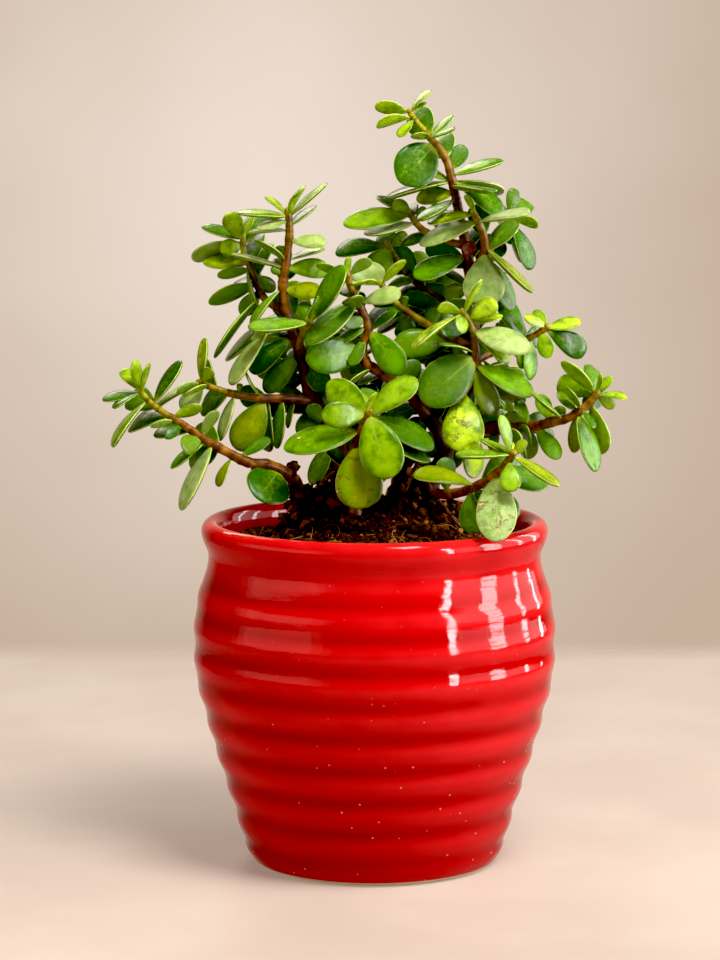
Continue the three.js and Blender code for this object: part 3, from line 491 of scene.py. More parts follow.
            [48, 168, 44, 160, 4.5, 6], [72, 171.5, 60.5, 180.5, 3, -6], [60, 169, 54, 179, 5, -4],
            [38, 168, 37, 148.5, 8.5, -9],
        ],
        "extra": 7,
    },
    "right_front_rosette": {
        "parent": "right_leader",
        "thick": [2.2, 1.4],
        "route": [
            [20, 143, 6], [28, 142.5, -11], [34, 143.5, -24], [40, 146, -34], [46, 149.5, -41],
            [50.5, 154, -45], [54, 159.5, -48],
        ],
        "leaves": [
            [53, 158, 48, 173, 5, -3], [54, 159.5, 58, 163.5, 4, -2], [53, 158, 31, 157, 4.5, -4],
            [53, 158, 71, 145, 5, -5], [52, 156, 52.5, 143.5, 8, -8], [52, 157, 41, 164, 4, 6],
            [50, 153, 44, 147.5, 4.5, 6], [47, 150.5, 47, 123.5, 15, -13], [37, 145, 38, 127.5, 10, -7],
            [39, 146, 15, 151, 7.5, 4], [50, 153, 55, 149, 4, -5], [54, 159.5, 52, 163.5, 3, -2],
        ],
        "extra": 3,
    },
    "right_middle_twig": {
        "parent": "right_leader",
        "thick": [1.9, 1.3],
        "route": [[37, 195, 9], [44, 197, 12], [51, 200, 13], [58, 202.5, 13], [63, 205, 13], [67, 208, 13]],
        "leaves": [
            [66, 208, 61, 213.5, 5, 3], [67, 208, 79, 209, 5.5, 2], [65, 206, 81, 197, 9.5, -4],
            [64, 205, 66.5, 195, 6.5, -5], [66, 207, 57, 211, 4.5, -4], [57, 202, 48, 218, 8, 3],
            [54, 201, 48.5, 210, 4.5, 6], [59, 203, 59.5, 186.5, 6, -2], [55, 201, 57, 191, 4.5, -7],
        ],
        "extra": 4,
    },
    "top_right_crown": {
        "parent": "right_leader",
        "thick": [2.0, 1.2],
        "route": [[36, 228, 10], [41.5, 234.5, 6], [41.5, 242, 3], [39, 248, 1], [37, 252, 0]],
        "leaves": [
            [37, 251, 46, 257, 3, -2], [38, 250, 20, 247, 5.5, -4], [39, 247, 17, 238.5, 7.5, -9],
            [40, 247, 58, 250, 5, -5], [37, 252, 34.5, 257.5, 3, -3], [40, 236, 41.5, 215.5, 16, -9],
            [41, 237, 60, 219.5, 4.5, -2],
        ],
        "extra": 2,
    },
    "top_right_twig": {
        "parent": "right_leader",
        "thick": [1.6, 1.1],
        "route": [[37, 221, 11], [41, 230, 14], [45.5, 239, 15], [49, 245, 15], [53, 250.5, 15]],
        "leaves": [
            [53, 250, 53, 260, 5.5, 2], [53, 250, 62.5, 246, 4.5, -3], [51, 248, 60, 229, 7, -3],
            [48, 243, 54, 240, 5, -4], [50, 247, 54.5, 233, 3.5, 5], [42, 233, 52.5, 213, 8, -2],
        ],
        "extra": 3,
    },
    "top_left_crown": {
        "parent": "right_leader",
        "thick": [1.7, 1.1],
        "route": [[34, 239, 10], [27, 240, 13], [20, 243, 14], [15.5, 247, 14], [13, 252, 14]],
        "leaves": [
            [15, 247, -4, 242, 5.5, -4], [13, 251, -12, 246, 9, 3], [13, 252, 1, 257, 5, 3],
            [13, 252, 7, 255, 6, -6], [16, 247, 19, 253, 3.5, -4], [21, 242, 10, 239, 5, 6],
            [27, 240, 24, 234, 4, -4],
        ],
        "extra": 3,
    },
    "centre_rear_shoot": {
        "parent": "right_leader",
        "thick": [1.9, 1.1],
        "route": [[37.5, 210, 10], [27, 215, 18], [17, 223, 22], [9, 232, 24], [4, 240, 24]],
        "leaves": [
            [6, 237, -1, 226, 11, -6], [4, 240, -15, 236.5, 8, 2], [27, 215, 11, 218.5, 7, -5],
            [17, 223, 28, 219, 7, -5], [9, 232, 18, 229, 7, 5], [5, 239, 12, 243, 5, 6],
            [15, 225, 8, 238, 9, 5],
        ],
        "extra": 5,
    },
    "left_back_shoot": {
        "parent": "left_leader",
        "thick": [1.9, 1.1],
        "route": [[-25, 183, 9], [-27, 191, 24], [-28, 200, 38], [-27, 210, 50]],
        "leaves": [],
        "extra": 9,
    },
    "middle_back_shoot": {
        "parent": "right_leader",
        "thick": [2.0, 1.1],
        "route": [[37, 189, 9], [30, 199, 24], [23, 210, 38], [18, 221, 50]],
        "leaves": [],
        "extra": 9,
    },
    "right_back_shoot": {
        "parent": "right_leader",
        "thick": [2.0, 1.1],
        "route": [[29, 164, 5], [33, 170, 20], [38, 178, 35], [43, 188, 48]],
        "leaves": [],
        "extra": 9,
    },
    "low_back_shoot": {
        "parent": "left_leader",
        "thick": [2.0, 1.1],
        "route": [[-16, 165, 8], [-12, 168, 22], [-5, 174, 36], [2, 182, 48]],
        "leaves": [],
        "extra": 9,
    },
}

# Readings of leaf tips whose colour stands out. The others are coloured by size and place. Some sets paint
# light and shade: the young set also holds lit leaves, the pale set sheened ones, and the dark set leaves in
# shade.
# young leaves, and leaves that are lit, painted lighter: partly young colour, partly painted light
YOUNG_AND_LIT_TIPS = {
    (-27.5, 260.5), (-92, 194.5), (-64.5, 203), (46.5, 217), (41, 225), (14, 199), (24, 215),
    (79, 209), (58, 163.5), (12, 232.5), (-8, 224), (0, 291), (0.5, 284), (21, 297), (0.5, 182),
    (20, 292), (57, 211), (-96.5, 191), (-62.5, 191), (34, 159), (52, 194), (20, 247), (16, 256),
    (49, 211.5), (37, 148.5), (87, 189), (92, 176), (-46, 250), (14, 280), (-66, 176), (62.5, 246),
    (-56, 250.5), (-65.5, 232),
}
# leaves with a grey bloom, which is partly their wax and partly a painted sheen
BLOOM_AND_SHEEN_TIPS = {
    (41.5, 215.5), (58, 250), (17, 238.5), (-18.5, 239), (60, 198), (-55, 184.5), (47, 123.5),
    (4, 228), (10, 220), (-74.5, 136), (-76, 182), (-74, 175), (-59.5, 163), (-1.5, 233),
    (-4, 242), (-60.5, 175), (-47, 203), (-85, 176), (-69.5, 233), (-48.5, 243), (-45, 244.5),
    (-86, 168.5), (-55, 235),
}
OLIVE_TIPS = {
    (-53, 159.5), (46, 173), (-20, 220), (14.5, 159), (15, 151), (71, 145),
    (-60.5, 145.5), (-5, 136.5), (60, 219.5), (76, 158.5),
}
# leaves that lie in shade, painted dark: a painted shade
SHADED_TIPS = {
    (-48, 190), (-44.5, 140), (81, 197), (-21, 145), (5, 172), (-15, 236.5), (-40, 173), (2, 207),
    (60, 229), (52.5, 213), (-80.5, 164), (-74, 160.5), (-28, 217), (-22, 217), (23, 161),
    (34, 276), (9.5, 262), (17, 247), (24, 206), (4, 256), (44, 258), (-39.5, 229.5), (18, 178),
    (-18, 183), (-66, 245.5), (-73.5, 194), (1, 257), (49, 250), (-104.5, 179), (-100.5, 176),
    (-66, 154), (84, 168), (53, 260), (22, 216), (10, 239),
}
SCARRED_TIPS = {(-5, 136.5), (47, 123.5), (-20, 220), (-35, 160), (34, 159), (20, 247)}

# Leaves that only this finer model has, each with its stem. They lie over its bare stretches.
INNER_LEAVES = [
    ("centre_shoot", [-9, 216, -26, 200, 10, -12]), ("centre_shoot", [-3, 202, -9, 192, 5.5, -6]),
    ("centre_shoot", [-6, 207, -14, 201, 4.5, -2]), ("centre_shoot", [9, 184, 17, 194, 8, 4]),
    ("front_rosette", [-2, 166, 21, 155, 8, 8]), ("left_leader", [-22, 176, -29, 165, 7, -3]),
    ("left_leader", [-19, 161, -24, 146, 7.5, -2]), ("right_leader", [32.5, 263, 48, 257, 7, 18]),
    ("left_upper_branch", [-41, 174, -42, 159, 8, 6]),
    ("left_low_branch", [-51, 158, -40, 164, 5, 2]),
    ("left_low_branch", [-34, 157, -48, 150, 10, -4]),
    ("centre_shoot", [-2, 210, -12, 208, 5, -6]), ("centre_shoot", [0, 204, 5, 191, 6, 10]),
    ("centre_twig", [8, 212, 14, 204, 7, 4]), ("centre_shoot", [21, 173, 14, 167, 8, 8]),
]

# ---- Placing by sight ----


def unit(vector):
    return vector / np.linalg.norm(vector)


def across(vector, axis):
    """The part of a vector that lies across an axis, one long."""
    return unit(vector - axis * (vector @ axis))


def slide(x, z, depth):
    """From a place on the upright plane through the axis to the real point at that depth."""
    share = (depth - EYE[1]) / -EYE[1]
    return np.array([EYE[0] + (x - EYE[0]) * share, depth, EYE[2] + (z - EYE[2]) * share])


def seen(points):
    """The way back: where real points appear on that plane."""
    share = -EYE[1] / (points[:, 1] - EYE[1])
    return EYE[[0, 2]] + (points[:, [0, 2]] - EYE[[0, 2]]) * share[:, None]


def on_curve(points, share):
    """The point at a share of a smooth curve through the route's points."""
    last = len(points) - 1
    first = min(int(last * share), last - 1)
    part = last * share - first
    start, end = points[first], points[first + 1]
    before = points[first - 1] if first > 0 else 2 * start - end
    after = points[first + 2] if first + 2 <= last else 2 * end - start
    lead, trail = (end - before) / 2, (after - start) / 2
    square = (3 * end - 3 * start - 2 * lead - trail) * part ** 2
    cube = (2 * start - 2 * end + lead + trail) * part ** 3
    return start + lead * part + square + cube


def direction(points, share):
    low, high = max(0, share - 0.0001), min(1, share + 0.0001)
    return unit(on_curve(points, high) - on_curve(points, low))


class Draws:
    """Even draws from a seed, the same ones as the CAD part's."""

    def __init__(self, seed):
        self.last = seed

    def between(self, low, high):
        self.last = self.last * 16807 % 2147483647
        return low + (high - low) * self.last / 2147483647


class Crowd:
    """The spots that stand for all that is placed so far: place, radius, owner, on a blade."""

    def __init__(self):
        self.places = np.empty((0, 3))
        self.radii = np.empty(0)
        self.owners = np.empty(0, dtype=object)
        self.blades = np.empty(0, dtype=bool)

    def add(self, places, radii, owner, blades):
        count = len(places)
        self.places = np.vstack([self.places, places])
        self.radii = np.append(self.radii, np.broadcast_to(radii, count))
        self.owners = np.append(self.owners, np.full(count, owner, dtype=object))
        self.blades = np.append(self.blades, np.broadcast_to(blades, count))


class Stem:
    """A stem's curve and the spots along it. Its first point is moved onto its parent."""

    def __init__(self, name, laid):
        facts = STEMS[name]
        self.name = name
        self.thick = facts["thick"]
        self.rows = facts["leaves"]
        self.extra = facts["extra"]
        self.parent = facts.get("parent")
        self.points = np.array([slide(*reading) for reading in facts["route"]])
        if self.parent:
            near = laid[self.parent].spots
            away = np.linalg.norm(near - self.points[0], axis=1)
            self.points[0] = near[np.argmin(away)]
        count = (len(self.points) - 1) * SPOTS_PER_STRETCH
        self.shares = np.arange(count + 1) / count
        self.spots = np.array([on_curve(self.points, share) for share in self.shares])
        self.radii = np.array([self.radius(share) for share in self.shares])

    def radius(self, share):
        start, end = self.thick
        return start + (end - start) * share ** TAPER

    def nearest(self, x, z, last=None):
        """The number of the spot that the viewer sees nearest to a place."""
        return int(np.argmin(np.linalg.norm(seen(self.spots[:last]) - [x, z], axis=1)))


def outline(share):
    """Half width at a share of the length, 1 at its widest: narrow foot, blunt tip."""
    return share ** BLADE_OPENS * (1 - share) ** BLADE_CLOSES / BLADE_PEAK


class Leaf:
    """A blade from its root to its tip. Its upper face turns to the stem's tip and the sky, and it
    is rolled about its length until its width looks as wide as it was seen."""

    def __init__(self, stem, root, tip, seen_width):
        along = direction(stem.points, stem.shares[root])
        self.stem = stem.name
        self.share = stem.shares[root]
        outwards = across(tip - stem.spots[root], along)
        self.base = stem.spots[root] + outwards * stem.radii[root] * ROOT_OUT
        self.length = np.linalg.norm(tip - self.base)
        self.axis = (tip - self.base) / self.length
        self.thick = np.clip(self.length * LEAF_THICKNESS, LEAF_THINNEST, LEAF_THICKEST)
        self.width = max(seen_width, SLENDER * self.length)
        front = across(EYE - self.base, self.axis)
        edge = np.cross(self.axis, front)
        turn = math.acos(np.clip((seen_width - self.thick) / (self.width - self.thick), 0, 1))
        natural = along * (1 - TALL_PART_OF_UP) + np.array([0, 0, TALL_PART_OF_UP])
        options = [
            front * face * math.cos(turn) + edge * roll * math.sin(turn)
            for face in (1, -1) for roll in (1, -1)
        ]
        self.face_to(max(options, key=lambda option: option @ natural))

    def face_to(self, normal):
        self.normal = normal
        self.side = np.cross(self.axis, normal)

    def spots(self, first=SPOTS_FROM):
        """Places that stand for the blade when it is kept clear of others."""
        rows = math.ceil(self.length / SPOT_PITCH)
        places = []
        for row in range(math.ceil(rows * first), rows + 1):
            share = min(row / rows, SPOT_LAST)
            half = self.width / 2 * outline(share)
            bow = self.length * LEAF_BOW * 4 * share * (1 - share)
            columns = max(1, math.ceil(2 * half / SPOT_PITCH))
            for column in range(columns + 1):
                aside = SPOT_SPREAD * (2 * column / columns - 1)
                places.append(
                    self.base + self.axis * self.length * share + self.side * half * aside
                    + self.normal * (bow + abs(aside) * half * LEAF_CUP))
        return np.array(places)


def soil_height(x, y):
    height = SOIL_EDGE + SOIL_RIPPLE * np.sin(x * SOIL_WAVES[0]) * np.sin(y * SOIL_WAVES[1] + 1)
    for mound_x, mound_y, rise, reach in SOIL_MOUNDS:
        share = np.minimum(1, np.hypot(x - mound_x, y - mound_y) / reach)
        height = height + rise * (0.5 + 0.5 * np.cos(np.pi * share))
    return height


def in_pot(places, radius):
    x, y, z = places.T
    out = np.hypot(x, y)
    low = z - radius - SPOT_PLAY
    in_soil = (out < INSIDE_REACH) & (low < soil_height(x, y))
    in_rim = (out >= INSIDE_REACH) & (out < RIM_REACH) & (low < POT_HEIGHT)
    return bool((in_soil | in_rim).any())


def is_clear(leaf, crowd, counted):
    spots = leaf.spots()
    radius = leaf.thick / 2
    if in_pot(spots, radius):
        return False
    middle = spots[len(spots) >> 1]
    reach = np.linalg.norm(spots - middle, axis=1).max() + NEIGHBOUR_REACH
    near = counted & (np.linalg.norm(crowd.places - middle, axis=1) < reach)
    gaps = np.linalg.norm(spots[:, None] - crowd.places[None, near], axis=2)
    return not (gaps < radius + crowd.radii[None, near] + SPOT_PLAY).any()


def is_hidden(leaf, crowd):
    """True where every spot has something of the plant in front of it, as the viewer sees it."""
    spots = leaf.spots()
    apart = np.linalg.norm(seen(spots)[:, None] - seen(crowd.places)[None], axis=2)
    in_front = crowd.places[None, :, 1] <= spots[:, None, 1] - COVER_AHEAD
    return bool(((apart < COVER_REACH) & in_front).any(axis=1).all())


def is_inside(places, corners):
    """True for each seen place that lies inside the outline."""
    x, z = places.T
    inside = np.zeros(len(x), dtype=bool)
    for (x1, z1), (x2, z2) in zip(corners, corners[1:] + corners[:1]):
        spans = (z1 > z) != (z2 > z)
        inside ^= spans & (x < x1 + (x2 - x1) * (z - z1) / (z2 - z1 + 1e-9))
    return inside


def aimed_leaf(stem, row, shift=0):
    """A leaf of a table, its tip bent deeper by the shift."""
    base_x, base_z, tip_x, tip_z, width, depth = row
    root = stem.nearest(base_x, base_z, -END_SPOTS)
    return Leaf(stem, root, slide(tip_x, tip_z, stem.spots[root, 1] + depth + shift), width)


def listed_leaf(stem, row, crowd):
    """A leaf of the table, bent nearer or deeper along the line of sight until it is clear."""
    options = [aimed_leaf(stem, row, shift) for shift in DEPTH_TRIES]
    foreign = crowd.owners != stem.name
    for counted in (foreign | crowd.blades, foreign):
        for leaf in options:
            if is_clear(leaf, crowd, counted):
                return leaf
    return None


def drawn_leaf(stem, draws, bare, lengths):
    """A leaf at a place drawn past the stem's bare share, which leans out to a drawn side."""
    first = math.floor(len(stem.spots) * bare[1 if stem.parent else 0])
    root = math.floor(draws.between(first, len(stem.spots) - END_SPOTS))
    along = direction(stem.points, stem.shares[root])
    side = unit(np.cross(along, [0, 1, 0]))
    back = np.cross(side, along)
    around = draws.between(0, 2 * math.pi)
    lean = draws.between(*EXTRA_LEAN)
    length = draws.between(*lengths)
    tip = (
        stem.spots[root] + along * math.cos(lean) * length
        + side * math.cos(around) * math.sin(lean) * length
        + back * math.sin(around) * math.sin(lean) * length)
    leaf = Leaf(stem, root, tip, length * EXTRA_WIDTH)
    leaf.face_to(across(along, leaf.axis))
    return leaf


def unseen_leaf(stem, crowd, draws):
    """A leaf of the plant's far side or middle, behind what the viewer sees."""
    counted = (crowd.owners != stem.name) | crowd.blades
    for _ in range(EXTRA_TRIES):
        leaf = drawn_leaf(stem, draws, EXTRA_BARE, EXTRA_LENGTHS)
        if is_clear(leaf, crowd, counted) and is_hidden(leaf, crowd):
            return leaf
    return None


def inner_leaf(stem, crowd, kept, draws):
    """A leaf of the dense middle: inside its outline, and behind each leaf that it passes."""
    counted = (crowd.owners != stem.name) | crowd.blades
    for _ in range(INNER_TRIES):
        leaf = drawn_leaf(stem, draws, INNER_BARE, INNER_LENGTHS)
        spots = leaf.spots()
        if not is_inside(seen(spots), INNER_OUTLINE).all():
            continue
        beside = kept[np.linalg.norm(kept - spots[len(spots) >> 1], axis=1) < INNER_REACH]
        apart = np.linalg.norm(seen(spots)[:, None] - seen(beside)[None], axis=2)
        covers = (apart < INNER_GAP) & (beside[None, :, 1] > spots[:, None, 1])
        if not covers.any() and is_clear(leaf, crowd, counted):
            return leaf
    return None


def grow_plant():
    """All stems, then all leaves in the order in which the CAD part places them, then the inner
    leaves that only this finer model has."""
    stems = {}
    crowd = Crowd()
    for name in STEMS:
        stem = Stem(name, stems)
        stems[name] = stem
        foot = np.arange(len(stem.spots)) == 0
        crowd.add(stem.spots, stem.radii, name, foot)
    leaves = []

    def keep(leaf, tip=None):
        if leaf:
            leaf.tip = tip
            leaves.append(leaf)
            crowd.add(leaf.spots(), leaf.thick / 2, leaf.stem, True)

    for stem in stems.values():
        for row in stem.rows:
            keep(listed_leaf(stem, row, crowd), (row[2], row[3]))
    x, _, z = crowd.places.T
    open_stem = ~crowd.blades & ((z > OPEN_HEIGHT) | (abs(x - OPEN_MIDDLE) > OPEN_SIDE))
    kept = np.vstack([crowd.places[open_stem]] + [leaf.spots(0) for leaf in leaves])
    draws = Draws(SEED)
    for stem in stems.values():
        for _ in range(stem.extra):
            keep(unseen_leaf(stem, crowd, draws))
    for name, row in INNER_LEAVES:
        keep(aimed_leaf(stems[name], row))
    draws = Draws(INNER_SEED)
    for _ in range(INNER_ROUNDS):
        for stem in stems.values():
            keep(inner_leaf(stem, crowd, kept, draws))
    return stems, leaves


# ---- Modelling by hand ----


def fresh():
    """Nothing is selected, so the next operator acts on new work only."""
    bpy.ops.object.select_all(action="DESELECT")


def take(piece):
    """Selects one piece and nothing else."""
    fresh()
    piece.select_set(True)
    bpy.context.view_layer.objects.active = piece


def edit(piece):
    take(piece)
    bpy.ops.object.mode_set(mode="EDIT")
    bpy.ops.mesh.select_mode(type="VERT")
    bpy.ops.mesh.select_all(action="DESELECT")


def pick(piece, test):
    """In edit mode, selects the vertices whose place passes the test."""
    mesh = bmesh.from_edit_mesh(piece.data)
    for vertex in mesh.verts:
        vertex.select = test(vertex.co)
    mesh.select_flush_mode()
    bmesh.update_edit_mesh(piece.data)


def pick_all():
    bpy.ops.mesh.select_all(action="SELECT")


def done():
    bpy.ops.object.mode_set(mode="OBJECT")


def rename(piece, name):
    piece.name = name
    piece.data.name = name


def named(name):
    """The new primitive, named and with its place moved into its mesh."""
    piece = bpy.context.object
    rename(piece, name)
    bpy.ops.object.transform_apply(location=True, rotation=True, scale=True)
    return piece


def joined(copies, name):
    """One piece from many copies."""
    fresh()
    for copy in copies:
        copy.select_set(True)
    bpy.context.view_layer.objects.active = copies[0]
    if len(copies) > 1:
        bpy.ops.object.join()
    piece = bpy.context.object
    rename(piece, name)
    return piece


def copied(model, matrix):
    """A copy of a model with its own mesh, moved to its place."""
    mesh = model.data.copy()
    mesh.transform(matrix)
    copy = bpy.data.objects.new(model.name, mesh)
    bpy.context.collection.objects.link(copy)
    return copy


def put_away(models):
    for model in models:
        bpy.data.objects.remove(model)


def ready(piece, material, slot, *nodes, smooth=True):
    """Gives a finished piece its look and its place in the part."""
    piece.data.materials.clear()
    piece.data.materials.append(material)
    if smooth:
        piece.data.polygons.foreach_set("use_smooth", [True] * len(piece.data.polygons))
    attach(piece, "root")
    if nodes:
        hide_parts(*nodes)


# ---- Finishes ----


def tone(code):
    """An sRGB hex colour as the linear one that the nodes use."""
    parts = [int(code[i:i + 2], 16) / 255 for i in (1, 3, 5)]
    return [c / 12.92 if c <= 0.04045 else ((c + 0.055) / 1.055) ** 2.4 for c in parts] + [1.0]


def feed(tree, node, inputs):
    """Sets a node's sockets, by name or number, each to a value, a hex colour, another node's
    first output or any one output."""
    for socket, value in inputs.items():
        if isinstance(value, str):
            value = tone(value)
        if isinstance(value, bpy.types.Node):
            value = value.outputs[0]
        if isinstance(value, bpy.types.NodeSocket):
            tree.links.new(value, node.inputs[socket])
        else:
            node.inputs[socket].default_value = value


def add(tree, kind, inputs, **settings):
    """Adds a node with its settings and what feeds it."""
    node = tree.nodes.new("ShaderNode" + kind)
    for key, value in settings.items():
        setattr(node, key, value)
    feed(tree, node, inputs)
    return node


def mask(tree, *steps):
    """How much of something shows: the product of the steps. A step is a share, or else a value,
    the two places between which it comes in smoothly, and how much shows at each of them."""
    shares = [
        add(tree, "MapRange", dict(enumerate(step)), interpolation_type="SMOOTHSTEP")
        if isinstance(step, tuple) else step
        for step in steps
    ]
    product = shares[0]
    for share in shares[1:]:
        product = add(tree, "Math", {0: product, 1: share}, operation="MULTIPLY")
    return product


def coat(tree, body, colour, *steps):
    """A colour laid over another, as far as the steps let it show."""
    share = mask(tree, *steps)
    return add(tree, "Mix", {0: share, 6: body, 7: colour}, data_type="RGBA").outputs[2]


def new_material(name, **sockets):
    """A material, with its nodes, its shader and the piece's own coordinates."""
    material = bpy.data.materials.new(name)
    material.use_nodes = True
    tree = material.node_tree
    shader = tree.nodes["Principled BSDF"]
    feed(tree, shader, {socket.replace("_", " "): value for socket, value in sockets.items()})
    place = add(tree, "TexCoord", {}).outputs["Object"]
    return material, tree, shader, place


def glaze():
    """Red earthenware glaze, dipped and fired: deep and glossy, with painted shade in the grooves and
    towards the foot and painted light over the ribs and the rim, with faint rings from the wheel,
    pinholes low down and a bare clay edge where the foot was wiped."""
    material, tree, shader, place = new_material("red_glaze_fired_earthenware", IOR=1.45,
        Specular_IOR_Level=0.42)
    height = add(tree, "SeparateXYZ", {0: place}).outputs[2]
    level = add(tree, "Math", {0: height, 1: 1 / MM, 2: -GROOVE_START}, operation="MULTIPLY_ADD")
    rise = add(tree, "Math", {0: level, 1: GROOVE_PITCH / 2}, operation="PINGPONG")
    # painted light over each rib and on the rim, painted shade in the grooves
    crest = mask(tree, (rise, 0, CREST_RISE))
    rim = mask(tree, (height, *(h * MM for h in LIT_RIM_HEIGHTS)))
    painted_light = add(tree, "Math", {0: crest, 1: rim}, operation="MAXIMUM")
    cloudy = add(tree, "TexNoise", {"Vector": place, "Scale": 1 / (16 * MM), "Detail": 4})
    body = coat(tree, GLAZE_SHADED_GROOVE, GLAZE_LIT_CREST, painted_light)
    body = coat(tree, body, GLAZE_CLOUD, (cloudy, 0.35, 0.7, 0, 0.35))
    # painted shade: darker towards the foot
    body = coat(tree, body, GLAZE_SHADED_LOW, (height, 0, SHADED_BELOW * MM, 0.5, 0))
    cells = add(tree, "TexVoronoi", {"Vector": place, "Scale": 1 / (PINHOLE_PITCH * MM)}).outputs
    drawn = add(tree, "SeparateColor", {0: cells["Color"]})
    pinholes = mask(tree, (cells["Distance"], *PINHOLE_SIZE, 1, 0), (drawn, *PINHOLE_CHOICE),
        (height, *(h * MM for h in PINHOLE_HEIGHTS), 1, 0.12), 0.8)
    body = coat(tree, body, GLAZE_PINHOLE, pinholes)
    bare = mask(tree, (height, *(h * MM for h in BARE_FOOT), 1, 0))
    sandy = add(tree, "TexNoise", {"Vector": place, "Scale": 1 / (1.5 * MM), "Detail": 3})
    body = coat(tree, body, coat(tree, *CLAY_TONES, sandy), bare)
    smeared = add(tree, "TexNoise", {"Vector": place, "Scale": 1 / (9 * MM), "Detail": 5})
    dull = mask(tree, (smeared, 0.3, 0.75, 0.03, 0.1))
    rough = add(tree, "Math", {0: dull, 1: mask(tree, bare, 0.8)}, operation="MAXIMUM")
    wavy = add(tree, "TexNoise", {"Vector": place, "Scale": 1 / (11 * MM), "Detail": 2})
    waves = add(tree, "Bump", {"Height": wavy, "Strength": 0.25, "Distance": 0.6 * MM})
    flat = add(tree, "Mapping", {"Vector": place, "Scale": (1, 1, 6)})
    thrown = add(tree, "TexNoise", {"Vector": flat, "Scale": 1 / (8 * MM), "Detail": 3})
    rings = add(tree, "Bump", {"Height": thrown, "Strength": 0.35, "Distance": 0.14 * MM,
        "Normal": waves})
    pits = add(tree, "Bump", {"Height": pinholes, "Strength": 0.5, "Distance": 0.15 * MM,
        "Normal": rings}, invert=True)
    feed(tree, shader, {"Base Color": body, "Roughness": rough, "Normal": pits})
    return material


def leaf_skin():
    """The waxy skin of a jade leaf, grown: smooth and fleshy, with light that goes in a little way,
    a pale thin rim that is a painted highlight, a browned tip, and a grey bloom on older leaves that
    is partly a painted sheen. Painted shade lies towards the edges and on leaves in shade, and lit
    leaves are painted lighter."""
    material, tree, shader, place = new_material("jade_leaf_waxy_skin", IOR=1.45,
        Subsurface_Weight=0.2, Subsurface_Radius=(0.5, 1.0, 0.06), Subsurface_Scale=2.0 * MM,
        Specular_IOR_Level=0.5)
    tint = add(tree, "Attribute", {}, attribute_name="tint")
    parts = add(tree, "SeparateColor", {0: tint}).outputs
    young_and_lit, bloomed_and_sheened, dark, olive = parts[0], parts[1], parts[2], tint.outputs["Alpha"]
    luck, face, scar = [
        add(tree, "Attribute", {}, attribute_name=name).outputs["Fac"]
        for name in ("luck", "face", "scar")
    ]
    on_sheet = add(tree, "SeparateXYZ", {0: add(tree, "UVMap", {}, uv_map="blade")}).outputs
    along, aside = on_sheet[0], on_sheet[1]
    out = add(tree, "Math", {0: aside, 1: 0.5}, operation="SUBTRACT")
    out = add(tree, "Math", {0: out}, operation="ABSOLUTE")
    # size of each pattern in millimetres, how fine it goes, how rough, how twisted
    mottle, blotch, fine, dusty, sore, smeared, swollen, grainy = [
        add(tree, "TexNoise", {"Vector": place, "Scale": 1 / (size * MM), "Detail": detail,
            "Roughness": rough, "Distortion": twist})
        for size, detail, rough, twist in (
            (5.5, 6, 0.65, 0), (7, 3, 0.5, 0), (1.4, 5, 0.75, 0), (3.5, 4, 0.65, 0),
            (4.5, 6, 0.75, 0.5), (2.5, 4, 0.5, 0), (4.5, 2, 0.5, 0), (0.7, 2, 0.5, 0))
    ]
    # the grey bloom together with a painted sheen, more on the upper face
    bloom_and_sheen = mask(tree, bloomed_and_sheened, (dusty, 0.3, 0.7, 0.35, 1), (face, -0.6, 0.4, 0.5, 1))
    body = coat(tree, "#458709", "#7dbb16", luck)
    coats = (
        # lighter for young leaves, and painted light on lit ones
        ("#bce034", young_and_lit),
        # painted shade on leaves that lie in shade
        ("#1b4304", dark),
        ("#2a6203", (mottle, 0.35, 0.7, 0, 0.85)),
        ("#8b9a10", olive, (blotch, 0.3, 0.6, 0.5, 1)),
        ("#245503", (out, 0.2, 0.44, 0, 0.55)),  # painted shade towards the edges
        # lighter flecks kept to the leaf's middle: partly its own speckle, partly a painted sheen
        ("#9bb83c", (fine, 0.45, 0.7), (mottle, 0.4, 0.6), (out, 0.1, 0.45, 1, 0), 0.6),
        ("#7fa32c", (face, -0.9, 0.4, 0.35, 0)),  # the under face
        ("#9cc25a", (out, 0, 0.035, 0.35, 0), (along, 0.35, 0.75, 1, 0)),  # the middle rib
        ("#bed096", bloom_and_sheen, 0.7),
        ("#4a3d12", (sore, 0.56, 0.6), scar, (face, 0, 0.3), 0.8),
        ("#d0cb8e", (sore, 0.62, 0.66), scar, 0.8),
        ("#cfdf7c", (out, 0.46, 0.495, 0, 0.7)),  # the pale rim: a painted rim highlight
        ("#6b4a16", (along, 0.93, 1), (luck, 0.4, 0.9, 0, 0.8)),  # the browned tip
        ("#b3c94e", (along, 0, 0.22, 0.6, 0)),  # the foot
    )
    for colour, *steps in coats:
        body = coat(tree, body, colour, *steps)
    dull = mask(tree, (smeared, 0.3, 0.75, 0.2, 0.34))
    dull = add(tree, "Math", {0: bloom_and_sheen, 1: 0.16, 2: dull}, operation="MULTIPLY_ADD")
    waves = add(tree, "Bump", {"Height": swollen, "Strength": 0.5, "Distance": 0.5 * MM})
    grain = add(tree, "Bump", {"Height": grainy, "Strength": 0.12, "Distance": 0.08 * MM,
        "Normal": waves})
    feed(tree, shader, {"Base Color": body, "Roughness": dull, "Normal": grain})
    return material


